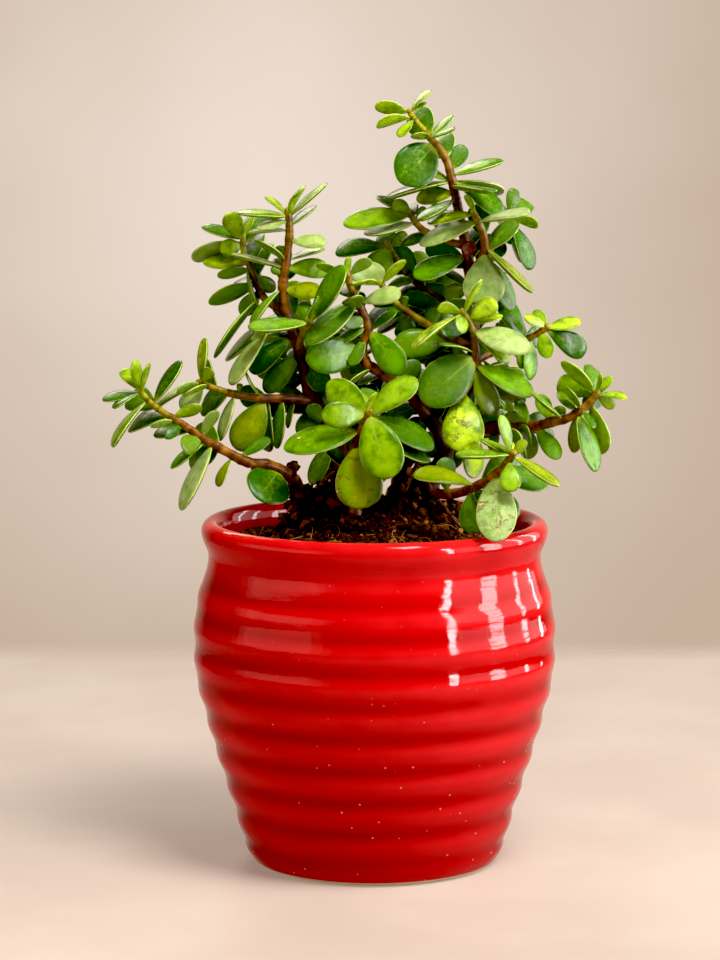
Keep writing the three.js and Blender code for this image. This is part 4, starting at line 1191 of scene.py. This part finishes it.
def bark():
    """The skin of a jade stem, grown: green and glossy near the tip, red-brown further down, and
    tan-grey with fine cracks on the trunks, with a ring at each pair of leaves."""
    material, tree, shader, place = new_material("jade_stem_bark", IOR=1.45)
    age, ring = [
        add(tree, "Attribute", {}, attribute_name=name).outputs["Fac"] for name in ("age", "ring")
    ]
    patch = add(tree, "TexNoise", {"Vector": place, "Scale": 1 / (4 * MM), "Detail": 5,
        "Roughness": 0.6})
    fine = add(tree, "TexNoise", {"Vector": place, "Scale": 1 / (0.9 * MM), "Detail": 4,
        "Roughness": 0.65})
    body = coat(tree, "#98a524", "#94731e", (patch, 0.4, 0.65))
    brown = coat(tree, "#694010", "#a37528", (patch, 0.35, 0.7))
    dark = coat(tree, "#2c1006", "#642e14", (patch, 0.35, 0.7))
    old = coat(tree, "#26160c", "#7c5a40", (fine, 0.35, 0.7))
    for skin, start, end in ((brown, 0.04, 0.2), (dark, 0.28, 0.55), (old, 0.75, 0.98)):
        body = coat(tree, body, skin, (age, start, end))
    body = coat(tree, body, "#301707", ring, 0.65)
    dull = mask(tree, (age, 0.4, 0.9, 0.3, 0.75))
    lumps = add(tree, "Bump", {"Height": patch, "Strength": 0.6, "Distance": 0.6 * MM})
    cracks = add(tree, "Bump", {"Height": fine, "Strength": 0.5, "Distance": 0.25 * MM,
        "Normal": lumps})
    feed(tree, shader, {"Base Color": body, "Roughness": dull, "Normal": cracks})
    return material


def cut_wood():
    """The dried face of an old cut, red-brown and cracked."""
    material, tree, shader, place = new_material("cut_stem_dried_face", Roughness=0.55)
    fine = add(tree, "TexNoise", {"Vector": place, "Scale": 1 / (0.8 * MM), "Detail": 4,
        "Roughness": 0.7})
    body = coat(tree, "#3c1206", "#8e3d1c", (fine, 0.35, 0.7))
    cracks = add(tree, "Bump", {"Height": fine, "Strength": 0.8, "Distance": 0.4 * MM})
    feed(tree, shader, {"Base Color": body, "Normal": cracks})
    return material


def peat():
    """Peat and bark compost, sieved and pressed: near black, matt, with lighter fibres in it."""
    material, tree, shader, place = new_material("peat_compost_crumbly", Roughness=0.95,
        Specular_IOR_Level=0.2)
    lump = add(tree, "TexNoise", {"Vector": place, "Scale": 1 / (3.5 * MM), "Detail": 6,
        "Roughness": 0.7})
    fine = add(tree, "TexNoise", {"Vector": place, "Scale": 1 / (0.7 * MM), "Detail": 4,
        "Roughness": 0.7})
    luck = add(tree, "Attribute", {}, attribute_name="luck").outputs["Fac"]
    body = coat(tree, "#170d07", "#442917", (lump, 0.35, 0.65))
    body = coat(tree, body, "#8a5f38", (fine, 0.56, 0.68, 0, 0.8))
    body = coat(tree, body, "#9c6c3e", (luck, 0.6, 1, 0, 0.85))
    rough = add(tree, "Bump", {"Height": lump, "Strength": 1.0, "Distance": 1.2 * MM})
    grit = add(tree, "Bump", {"Height": fine, "Strength": 0.9, "Distance": 0.4 * MM,
        "Normal": rough})
    feed(tree, shader, {"Base Color": body, "Normal": grit})
    return material


def root_fibre():
    """Dry rootlets and coir in the compost: tan to dark brown, matt, fibrous."""
    material, tree, shader, place = new_material("dry_rootlet_fibre", Roughness=0.7)
    luck = add(tree, "Attribute", {}, attribute_name="luck").outputs["Fac"]
    streak = add(tree, "TexNoise", {"Vector": place, "Scale": 1 / (1.2 * MM), "Detail": 3})
    body = coat(tree, "#3a2010", "#d9a970", luck)
    body = coat(tree, body, "#4f321c", (streak, 0.4, 0.7, 0, 0.5))
    feed(tree, shader, {"Base Color": body})
    return material


# ---- Pot ----


def pot_profile():
    """Radius and height from the middle of the underside, up the ribs and down the inside."""
    points = list(FOOT_PROFILE)
    for i, (radius, above) in enumerate(zip(GROOVE_RADII, GROOVE_RADII[1:])):
        height = GROOVE_START + GROOVE_PITCH * i
        points.append([radius, height])
        for step in range(1, RIB_POINTS):
            share = step / RIB_POINTS
            line = radius + (above - radius) * share
            bulge = RIB_BULGE * math.sin(math.pi * share ** RIB_LEAN) ** 2
            points.append([line + bulge, height + GROOVE_PITCH * share])
    points.append([GROOVE_RADII[-1], GROOVE_START + GROOVE_PITCH * (len(GROOVE_RADII) - 1)])
    points += RIM_OUTSIDE + [[RIM_CREST_RADIUS, POT_HEIGHT]] + WALL_INSIDE
    return points + [[FLOOR_RADIUS, FLOOR_TOP], [0, FLOOR_TOP]]


def model_pot():
    """One corner of a plane is drawn out along the profile, then spun about the pot's axis."""
    profile = [Vector((radius * MM, 0, height * MM)) for radius, height in pot_profile()]
    fresh()
    bpy.ops.mesh.primitive_plane_add(size=MM, location=profile[0])
    pot = named("pot_glazed")
    edit(pot)
    pick_all()
    bpy.ops.mesh.merge(type="CENTER")
    for start, end in zip(profile, profile[1:]):
        bpy.ops.mesh.extrude_region_move(TRANSFORM_OT_translate={"value": end - start})
    pick_all()
    bpy.ops.mesh.spin(steps=POT_STEPS, angle=2 * math.pi, center=(0, 0, 0), axis=(0, 0, 1))
    pick_all()
    bpy.ops.mesh.remove_doubles(threshold=WELD * MM)
    bpy.ops.mesh.normals_make_consistent(inside=False)
    done()
    return pot


# ---- Soil ----


def roughen(piece, name, size, height, way):
    """Raises and sinks a surface by a cloudy pattern, all over."""
    texture = bpy.data.textures.new(name, "CLOUDS")
    texture.noise_scale = size * MM
    texture.noise_depth = 3
    take(piece)
    modifier = piece.modifiers.new(name, "DISPLACE")
    modifier.texture = texture
    modifier.strength = height * MM
    modifier.mid_level = 0.5
    modifier.direction = way
    bpy.ops.object.modifier_apply(modifier=modifier.name)


def model_soil_bed():
    """A fine grid cut to the pot's inside, raised into mounds round the trunks and roughened."""
    fresh()
    bpy.ops.mesh.primitive_grid_add(x_subdivisions=SOIL_GRID, y_subdivisions=SOIL_GRID,
        size=2 * SOIL_MARGIN * SOIL_RADIUS * MM, location=(0, 0, SOIL_EDGE * MM))
    bed = named("soil_bed")
    edit(bed)
    pick(bed, lambda place: math.hypot(place.x, place.y) > SOIL_RADIUS * MM)
    bpy.ops.mesh.delete(type="VERT")
    for x, y, rise, reach in SOIL_MOUNDS:
        pick(bed, lambda place: math.hypot(place.x / MM - x, place.y / MM - y) < MOUND_MIDDLE)
        bpy.ops.transform.translate(value=(0, 0, rise * MM), use_proportional_edit=True,
            proportional_edit_falloff="SMOOTH", proportional_size=reach * MM)
    done()
    roughen(bed, "soil lumps", *SOIL_LUMPS, "Z")
    roughen(bed, "soil grains", *SOIL_GRAINS, "NORMAL")
    return bed


def model_lump(seed):
    fresh()
    bpy.ops.mesh.primitive_ico_sphere_add(subdivisions=1, radius=1)
    lump = named("lump")
    edit(lump)
    pick_all()
    bpy.ops.transform.vertex_random(**LUMP_RAGGED, seed=seed)
    done()
    return lump


def value_along(piece, name, values):
    """Writes one value for each vertex."""
    attribute = piece.data.attributes.new(name, "FLOAT", "POINT")
    attribute.data.foreach_set("value", values)


def lay_lumps(name, lumps, spots, chance):
    """Copies of the lumps at the spots, each x, y, z and size, turned and stretched by chance."""
    copies = []
    for i, (x, y, z, size) in enumerate(spots):
        angle = chance.uniform(*LUMP_TURN)
        turn = Matrix.Rotation(angle, 4, Vector(chance.normal(size=3)).normalized())
        stretch = Matrix.Diagonal((*(size * chance.uniform(*LUMP_STRETCH, 3) * MM), 1))
        place = Matrix.Translation(Vector((x, y, z)) * MM)
        copies.append(copied(lumps[i % len(lumps)], place @ turn @ stretch))
    piece = joined(copies, name)
    value_along(piece, "luck", np.repeat(chance.random(len(spots)), len(lumps[0].data.vertices)))
    return piece


def scattered(count, sizes, chance):
    """Spots all over the soil."""
    spots = []
    for _ in range(count):
        out = INSIDE_REACH * math.sqrt(chance.random())
        around = chance.uniform(0, 2 * math.pi)
        x, y = out * math.cos(around), out * math.sin(around)
        size = chance.uniform(*sizes)
        spots.append((x, y, soil_height(x, y) + LUMP_LIFT * size, size))
    return spots


def heaped(heaps, sizes, chance):
    """Spots in heaps, fewer and closer in towards each heap's top."""
    spots = []
    for x, y, top, wide, deep, count in heaps:
        for _ in range(count):
            share = chance.random() ** HEAP_LOW
            near = 1 - HEAP_TAPER * share
            lump_x = x + near * wide * chance.normal(0, HEAP_SPREAD)
            lump_y = y + near * deep * chance.normal(0, HEAP_SPREAD)
            ground = soil_height(lump_x, lump_y)
            size = chance.uniform(*sizes)
            spots.append((lump_x, lump_y, ground + share * max(0, top - size - ground), size))
    return spots


def draw_strands(name, strands, roundness, **values):
    """A mesh of round strands. A strand is a list of [x, y, z, radius], and each further argument
    gives one value for each of their points."""
    curve = bpy.data.curves.new(name, "CURVE")
    curve.dimensions = "3D"
    curve.bevel_depth = MM
    curve.bevel_resolution = roundness
    for strand in strands:
        spline = curve.splines.new("POLY")
        spline.points.add(len(strand) - 1)
        for point, (x, y, z, radius) in zip(spline.points, strand):
            point.co = (x * MM, y * MM, z * MM, 1)
            point.radius = radius
    piece = bpy.data.objects.new(name, curve)
    bpy.context.collection.objects.link(piece)
    take(piece)
    bpy.ops.object.convert(target="MESH")
    piece = bpy.context.object
    sides = len(piece.data.vertices) // sum(len(strand) for strand in strands)
    for key, per_point in values.items():
        value_along(piece, key, np.repeat(per_point, sides))
    edit(piece)
    pick_all()
    bpy.ops.mesh.fill_holes(sides=0)
    done()
    return piece


def model_rootlets(chance):
    """Fine dry roots that curl over the soil, most of them in the middle."""
    strands = []
    for _ in range(ROOTLETS):
        out = ROOTLET_REACH * chance.random() ** ROOTLET_CROWDING
        around = chance.uniform(0, 2 * math.pi)
        x, y = out * math.cos(around), out * math.sin(around)
        heading = chance.uniform(0, 2 * math.pi)
        curl = chance.normal(0, ROOTLET_CURL)
        radius = chance.choice(ROOTLET_RADII, p=ROOTLET_SHARES)
        count = chance.integers(*ROOTLET_POINTS)
        arch = chance.uniform(*ROOTLET_ARCH)
        strand = []
        for step in range(count):
            lift = ROOTLET_LIFT + arch * math.sin(math.pi * step / (count - 1))
            taper = 1 - ROOTLET_TAPER * step / (count - 1)
            strand.append([x, y, soil_height(x, y) + lift, radius * taper])
            heading += curl + chance.normal(0, ROOTLET_WANDER)
            x += ROOTLET_STEP * math.cos(heading)
            y += ROOTLET_STEP * math.sin(heading)
            if math.hypot(x, y) > INSIDE_REACH:
                break
        if len(strand) >= ROOTLET_FEWEST_POINTS:
            strands.append(strand)
    shades = np.repeat(chance.random(len(strands)) ** ROOTLET_DARK, [len(strand) for strand in strands])
    return draw_strands("rootlets", strands, 0, luck=shades)


# ---- Stems ----


def stem_strand(stem, leaves):
    """A stem's points about a millimetre apart, thicker at each ring, where leaves grew."""
    length = np.linalg.norm(np.diff(stem.spots, axis=0), axis=1).sum()
    count = max(STEM_FEWEST_POINTS, round(length / STEM_PITCH))
    rings = [leaf.share for leaf in leaves if leaf.stem == stem.name]
    rings += list(np.arange(*RING_SPAN, RING_SPACING / length))
    strand, ages, marks = [], [], []
    for share in np.linspace(0, 1, count):
        near = min(abs(share - ring) for ring in rings) * length
        mark = math.exp(-(near / RING_REACH) ** 2)
        point = on_curve(stem.points, share)
        radius = stem.radius(share)
        age = (radius - YOUNG_RADIUS) / (OLD_RADIUS - YOUNG_RADIUS)
        flare = 0.0
        if not stem.parent:
            above = max(0, point[2] - soil_height(point[0], point[1]))
            flare = FOOT_FLARE * math.exp(-above / FLARE_HEIGHT)
        uneven = STEM_UNEVEN * math.sin(share * length * STEM_WAVER + len(stem.name))
        strand.append([*point, radius * (1 + RING_SWELL * mark + flare + uneven)])
        ages.append(float(np.clip(age, 0, 1)))
        marks.append(mark)
    strand[-1][3] *= STEM_END
    return strand, ages, marks


def model_stem(stem, leaves):
    strand, ages, marks = stem_strand(stem, leaves)
    return draw_strands(stem.name + "_stem", [strand], STEM_ROUNDNESS, age=ages, ring=marks)


def model_thick_roots():
    """Old roots that run off the trunks and into the compost."""
    strands = []
    for route, (start, end) in THICK_ROOTS:
        points = np.array([slide(*reading) for reading in route])
        strand = []
        for share in np.linspace(0, 1, THICK_ROOT_POINTS):
            uneven = 1 + THICK_ROOT_UNEVEN * math.sin(share * THICK_ROOT_WAVER + route[0][0])
            radius = (start + (end - start) * share) * uneven
            strand.append([*on_curve(points, share), radius])
        strand[-1][3] *= THICK_ROOT_END
        strands.append(strand)
    count = THICK_ROOT_POINTS * len(strands)
    bark_here = {key: [value] * count for key, value in THICK_ROOT_BARK.items()}
    return draw_strands("thick_roots", strands, STEM_ROUNDNESS, **bark_here)


def model_cut_stump(stem):
    """Where a branch was once cut off: a short blunt end with a sunken, uneven face."""
    x, z, radius, reach = (STEMS[stem.name]["stump"][key] for key in ("x", "z", "radius", "reach"))
    root = stem.spots[stem.nearest(x, z)]
    end = slide(x, z, root[1] - reach)
    fresh()
    bpy.ops.mesh.primitive_cylinder_add(vertices=STUMP_SIDES, radius=radius * MM, depth=reach * MM,
        location=Vector(end + [0, reach / 2, 0]) * MM, rotation=(math.pi / 2, 0, 0))
    stump = named("cut_stump")
    front = (end[1] + STUMP_SKIN) * MM
    edit(stump)
    pick(stump, lambda place: place.y < front)
    for inset, sunk in STUMP_STEPS:
        bpy.ops.mesh.inset(thickness=inset * MM)
        bpy.ops.transform.translate(value=(0, sunk * MM, 0))
    pick_all()
    bpy.ops.transform.vertex_random(offset=STUMP_RAGGED * MM, seed=3)
    done()
    return stump


# ---- Leaves ----


def shape_ring(leaf, share, round_here, wide, thick, lift, rise):
    """Draws one ring of the ball to the leaf's outline, its corners out for a full, rounded rim
    and its edges up, and raises it all."""
    corner = math.sqrt(0.5) * wide

    def in_ring(place):
        return abs(place.x - share) < RING_PLAY

    pick(leaf, in_ring)
    bpy.ops.transform.resize(value=(1, wide / round_here, thick / round_here),
        center_override=(share, 0, 0))
    pick(leaf, lambda place: in_ring(place) and abs(abs(place.y) - corner) < CORNER_PLAY * corner)
    bpy.ops.transform.resize(value=LEAF_RIM, center_override=(share, 0, 0))
    pick(leaf, lambda place: in_ring(place) and abs(place.y) > EDGE_FROM * corner)
    bpy.ops.transform.translate(value=(0, 0, lift))
    pick(leaf, in_ring)
    bpy.ops.transform.translate(value=(0, 0, rise))


def model_leaf(name, opens, closes, bow, cup, droop):
    """A leaf one long and two wide: a ball whose rings are drawn to the leaf's outline, bowed
    along its length, with its edges lifted."""
    fresh()
    bpy.ops.mesh.primitive_uv_sphere_add(segments=LEAF_SIDES, ring_count=LEAF_ROWS, radius=0.5,
        location=(0.5, 0, 0), rotation=(0, math.pi / 2, 0))
    leaf = named(name)
    peak = opens / (opens + closes)
    widest = peak ** opens * (1 - peak) ** closes
    faces = []
    for vertex in leaf.data.vertices:
        round_here = math.sqrt(max(1e-9, 0.25 - (vertex.co.x - 0.5) ** 2))
        faces.append(np.clip(vertex.co.z / round_here, -1, 1) if round_here > 0.01 else 0)
    value_along(leaf, "face", faces)
    edit(leaf)
    halves = {}
    for row in range(1, LEAF_ROWS):
        share = (1 - math.cos(math.pi * row / LEAF_ROWS)) / 2
        round_here = 0.5 * math.sin(math.pi * row / LEAF_ROWS)
        wide = share ** opens * (1 - share) ** closes / widest
        thick = LEAF_THICKNESS / 2 * wide ** LEAF_FULLNESS * SMOOTHING_LOSS
        halves[round(share, 3)] = wide * SMOOTHING_LOSS
        rise = bow * 4 * share * (1 - share) - droop * share ** 4
        shape_ring(leaf, share, round_here, wide * SMOOTHING_LOSS, thick, cup * wide, rise)
    pick(leaf, lambda place: place.x > 0.999)
    bpy.ops.transform.translate(value=(LEAF_POINT, 0, -droop))
    done()
    lay_sheet(leaf, halves)
    return leaf


def lay_sheet(leaf, halves):
    """The leaf's UV map: U runs from foot to tip and V from edge to edge, on both faces."""
    mesh = leaf.data
    sheet = mesh.uv_layers[0]
    sheet.name = "blade"
    for loop in mesh.loops:
        place = mesh.vertices[loop.vertex_index].co
        half = halves.get(round(place.x, 3), 1)
        sheet.data[loop.index].uv = (min(1, place.x), 0.5 + 0.5 * np.clip(place.y / half, -1, 1))


def tint_of(leaf, luck):
    """How young and lit, bloomed and sheened, dark in painted shade and olive a leaf is, each from 0 to 1.
    """
    young_and_lit = 0.5 * max(0, leaf.share - YOUNG_FROM) / (1 - YOUNG_FROM)
    young_and_lit += 0.3 if leaf.length < SMALL_LEAF else 0
    if leaf.tip is None:
        # an unseen or inner leaf, which no tip names, lies in the plant's shade and is painted dark as a
        # painted shade
        return [0.15 * young_and_lit, 0.1, 0.45 + 0.3 * luck, 0.0]
    bloomed_and_sheened, dark, olive = 0.08 * luck, 0.1, 0.0
    if leaf.tip in YOUNG_AND_LIT_TIPS:
        young_and_lit, dark = max(young_and_lit, YOUNG_AND_LIT_TINT), 0
    if leaf.tip in BLOOM_AND_SHEEN_TIPS:
        young_and_lit, bloomed_and_sheened = min(young_and_lit, 0.3), BLOOM_AND_SHEEN_TINT
    if leaf.tip in OLIVE_TIPS:
        olive = OLIVE
    if leaf.tip in SHADED_TIPS:
        young_and_lit, dark = 0, SHADE_TINT
    return [min(1, young_and_lit), bloomed_and_sheened, dark, olive]


def lay_leaf(model, leaf, luck):
    """A copy of the model where the leaf grows, with what its colour depends on."""
    columns = (
        leaf.axis * leaf.length, -leaf.side * leaf.width / 2,
        leaf.normal * leaf.thick / LEAF_THICKNESS, leaf.base)
    matrix = Matrix.Identity(4)
    for i, column in enumerate(columns):
        for j in range(3):
            matrix[j][i] = column[j] * MM
    copy = copied(model, matrix)
    count = len(copy.data.vertices)
    tints = copy.data.color_attributes.new("tint", "FLOAT_COLOR", "POINT")
    tints.data.foreach_set("color", tint_of(leaf, luck) * count)
    value_along(copy, "luck", [luck] * count)
    value_along(copy, "scar", [1.0 if leaf.tip in SCARRED_TIPS else 0.0] * count)
    return copy


def model_leaves(stems, leaves, chance):
    """One piece of leaves for each stem, all copies of a few leaves modelled once."""
    models = [model_leaf(*kind) for kind in LEAF_KINDS]
    pieces = {}
    for name in stems:
        copies = []
        for leaf in leaves:
            if leaf.stem == name:
                luck = float(chance.random())
                copies.append(lay_leaf(models[chance.integers(len(models))], leaf, luck))
        piece = joined(copies, name + "_leaves")
        rounded = piece.modifiers.new("rounded", "SUBSURF")
        rounded.levels = rounded.render_levels = LEAF_SMOOTHING
        pieces[name] = piece
    put_away(models)
    return pieces


# ---- The part ----

chance = np.random.default_rng(SEED)
stems, leaves = grow_plant()
skin, wood, fibre, compost = leaf_skin(), bark(), root_fibre(), peat()

ready(model_pot(), glaze(), "red_glaze", "pot")
ready(model_soil_bed(), compost, "potting_soil", "soil")

lumps = [model_lump(seed) for seed in range(LUMP_KINDS)]
crumbs = lay_lumps("soil_crumbs", lumps, scattered(CRUMBS, CRUMB_SIZES, chance), chance)
heaps = lay_lumps("soil_heaps", lumps, heaped(HEAPS, CLOD_SIZES, chance), chance)
grit = scattered(GRAINS, GRAIN_SIZES, chance) + heaped(GRIT, GRIT_SIZES, chance)
grains = lay_lumps("soil_grains", lumps, grit, chance)
put_away(lumps)
ready(crumbs, compost, "potting_soil", smooth=False)
ready(heaps, compost, "potting_soil", smooth=False)
ready(grains, fibre, "potting_soil", smooth=False)
ready(model_rootlets(chance), fibre, "potting_soil")
ready(model_thick_roots(), wood, "bark")

foliage = model_leaves(stems, leaves, chance)
for name, stem in stems.items():
    ready(model_stem(stem, leaves), wood, "bark", name)
    ready(foliage[name], skin, "jade_leaf", name)
ready(model_cut_stump(stems["right_leader"]), cut_wood(), "bark", "right_leader")


# ---- Stage, light and camera ----


def pale_floor():
    """A plain pale plaster floor, trowelled: matt and faintly cloudy. It glows a little, a painted
    light that lightens the shadow on it. It fades out at its edges, as a sharp edge would cut across
    the view, and gloss mirrors only a part of it."""
    material, tree, shader, place = new_material("pale_plaster_floor", Roughness=0.55,
        Emission_Color=FLOOR_GLOW, Emission_Strength=FLOOR_GLOW_STRENGTH)
    cloudy = add(tree, "TexNoise", {"Vector": place, "Scale": 1 / (90 * MM), "Detail": 4})
    feed(tree, shader, {"Base Color": coat(tree, *FLOOR_TONES, (cloudy, 0.35, 0.7))})
    axes = add(tree, "SeparateXYZ", {0: place}).outputs
    far = [add(tree, "Math", {0: axis}, operation="ABSOLUTE") for axis in axes[:2]]
    edge = add(tree, "Math", {0: far[0], 1: far[1]}, operation="MAXIMUM")
    faded = mask(tree, (edge, (FLOOR_REACH - FLOOR_FADE) * MM, FLOOR_REACH * MM))
    gloss = add(tree, "LightPath", {}).outputs["Is Glossy Ray"]
    faded = add(tree, "Math", {0: gloss, 1: 1 - MIRRORED_FLOOR, 2: faded},
        operation="MULTIPLY_ADD", use_clamp=True)
    clear = add(tree, "BsdfTransparent", {})
    both = add(tree, "MixShader", {0: faded, 1: shader, 2: clear})
    feed(tree, tree.nodes["Material Output"], {"Surface": both})
    return material


def set_stage():
    fresh()
    bpy.ops.mesh.primitive_plane_add(size=2 * FLOOR_REACH * MM, location=(0, 0, -FLOOR_DROP * MM))
    floor = named("floor")
    floor.data.materials.append(pale_floor())


def set_world():
    """A plain warm backdrop, a little mottled, lit by itself as a studio wall is. What lights the
    plant from all round is dimmer than the wall looks, and gloss mirrors the wall behind it."""
    world = bpy.data.worlds.new("studio")
    bpy.context.scene.world = world
    world.use_nodes = True
    tree = world.node_tree
    wall = tree.nodes["Background"]
    way = add(tree, "TexCoord", {}).outputs["Generated"]
    cloudy = add(tree, "TexNoise", {"Vector": way, "Scale": 9, "Detail": 3})
    away = add(tree, "VectorMath", {0: way, 1: WALL_GLOW}, operation="DISTANCE").outputs["Value"]
    away = add(tree, "Math", {0: cloudy, 1: WALL_MOTTLE, 2: away}, operation="MULTIPLY_ADD")
    feed(tree, wall, {"Color": coat(tree, *WALL_TONES, (away, *WALL_REACH))})
    ray = add(tree, "LightPath", {}).outputs
    gloss = ray["Is Glossy Ray"]
    strength = mask(tree, (gloss, 0, 1, FILL_STRENGTH, GLOSS_FILL_STRENGTH))
    fill = add(tree, "Background", {"Color": FILL_TONE, "Strength": strength})
    depth = add(tree, "SeparateXYZ", {0: way}).outputs[1]
    mirrored = mask(tree, gloss, (depth, *WALL_MIRRORED))
    in_view = add(tree, "Math", {0: ray["Is Camera Ray"], 1: mirrored}, operation="MAXIMUM")
    both = add(tree, "MixShader", {0: in_view, 1: fill, 2: wall})
    feed(tree, tree.nodes["World Output"], {"Surface": both})


def softbox(name, place, aim, size, watts, colour, lights):
    light = bpy.data.lights.new(name, "AREA")
    light.shape = "RECTANGLE"
    light.size, light.size_y = size[0] * MM, size[1] * MM
    light.energy = watts
    light.color = tone(colour)[:3]
    lamp = bpy.data.objects.new(name, light)
    lamp.visible_camera = False
    lamp.visible_glossy = lights == "gloss"
    lamp.visible_diffuse = lights == "matt"
    bpy.context.collection.objects.link(lamp)
    lamp.location = Vector(place) * MM
    way = (Vector(aim) - Vector(place)).normalized()
    lamp.rotation_euler = way.to_track_quat("-Z", "Y").to_euler()


def window_panes():
    """The glass of a window at the right, in columns and rows, as the gloss mirrors it."""
    for name, (x, y, z), width, watts in PANES:
        for row in range(PANE_ROWS):
            height = z + PANE_ROW_PITCH * (row - (PANE_ROWS - 1) / 2)
            softbox(name, (x, y, height), (0, 0, height - PANE_TILT), (width, PANE_ROW_HEIGHT),
                watts, "#ffffff", "gloss")


def develop():
    """Plain colours, with the shadows drawn down to black."""
    view = bpy.context.scene.view_settings
    view.view_transform = "Standard"
    view.use_curve_mapping = True
    view.curve_mapping.black_level = [BLACK_LEVEL] * 3
    view.curve_mapping.update()


def set_camera():
    camera = bpy.data.cameras.new("photo_camera")
    camera.sensor_fit = "VERTICAL"
    camera.sensor_height = SENSOR_HEIGHT
    camera.lens = LENS
    eye = bpy.data.objects.new("photo_camera", camera)
    bpy.context.collection.objects.link(eye)
    eye.location = Vector(EYE) * MM
    eye.rotation_euler = (math.radians(90 - LOOK_DOWN), 0, 0)
    bpy.context.scene.camera = eye


set_stage()
set_world()
for light in SOFTBOXES:
    softbox(*light)
window_panes()
set_camera()
develop()
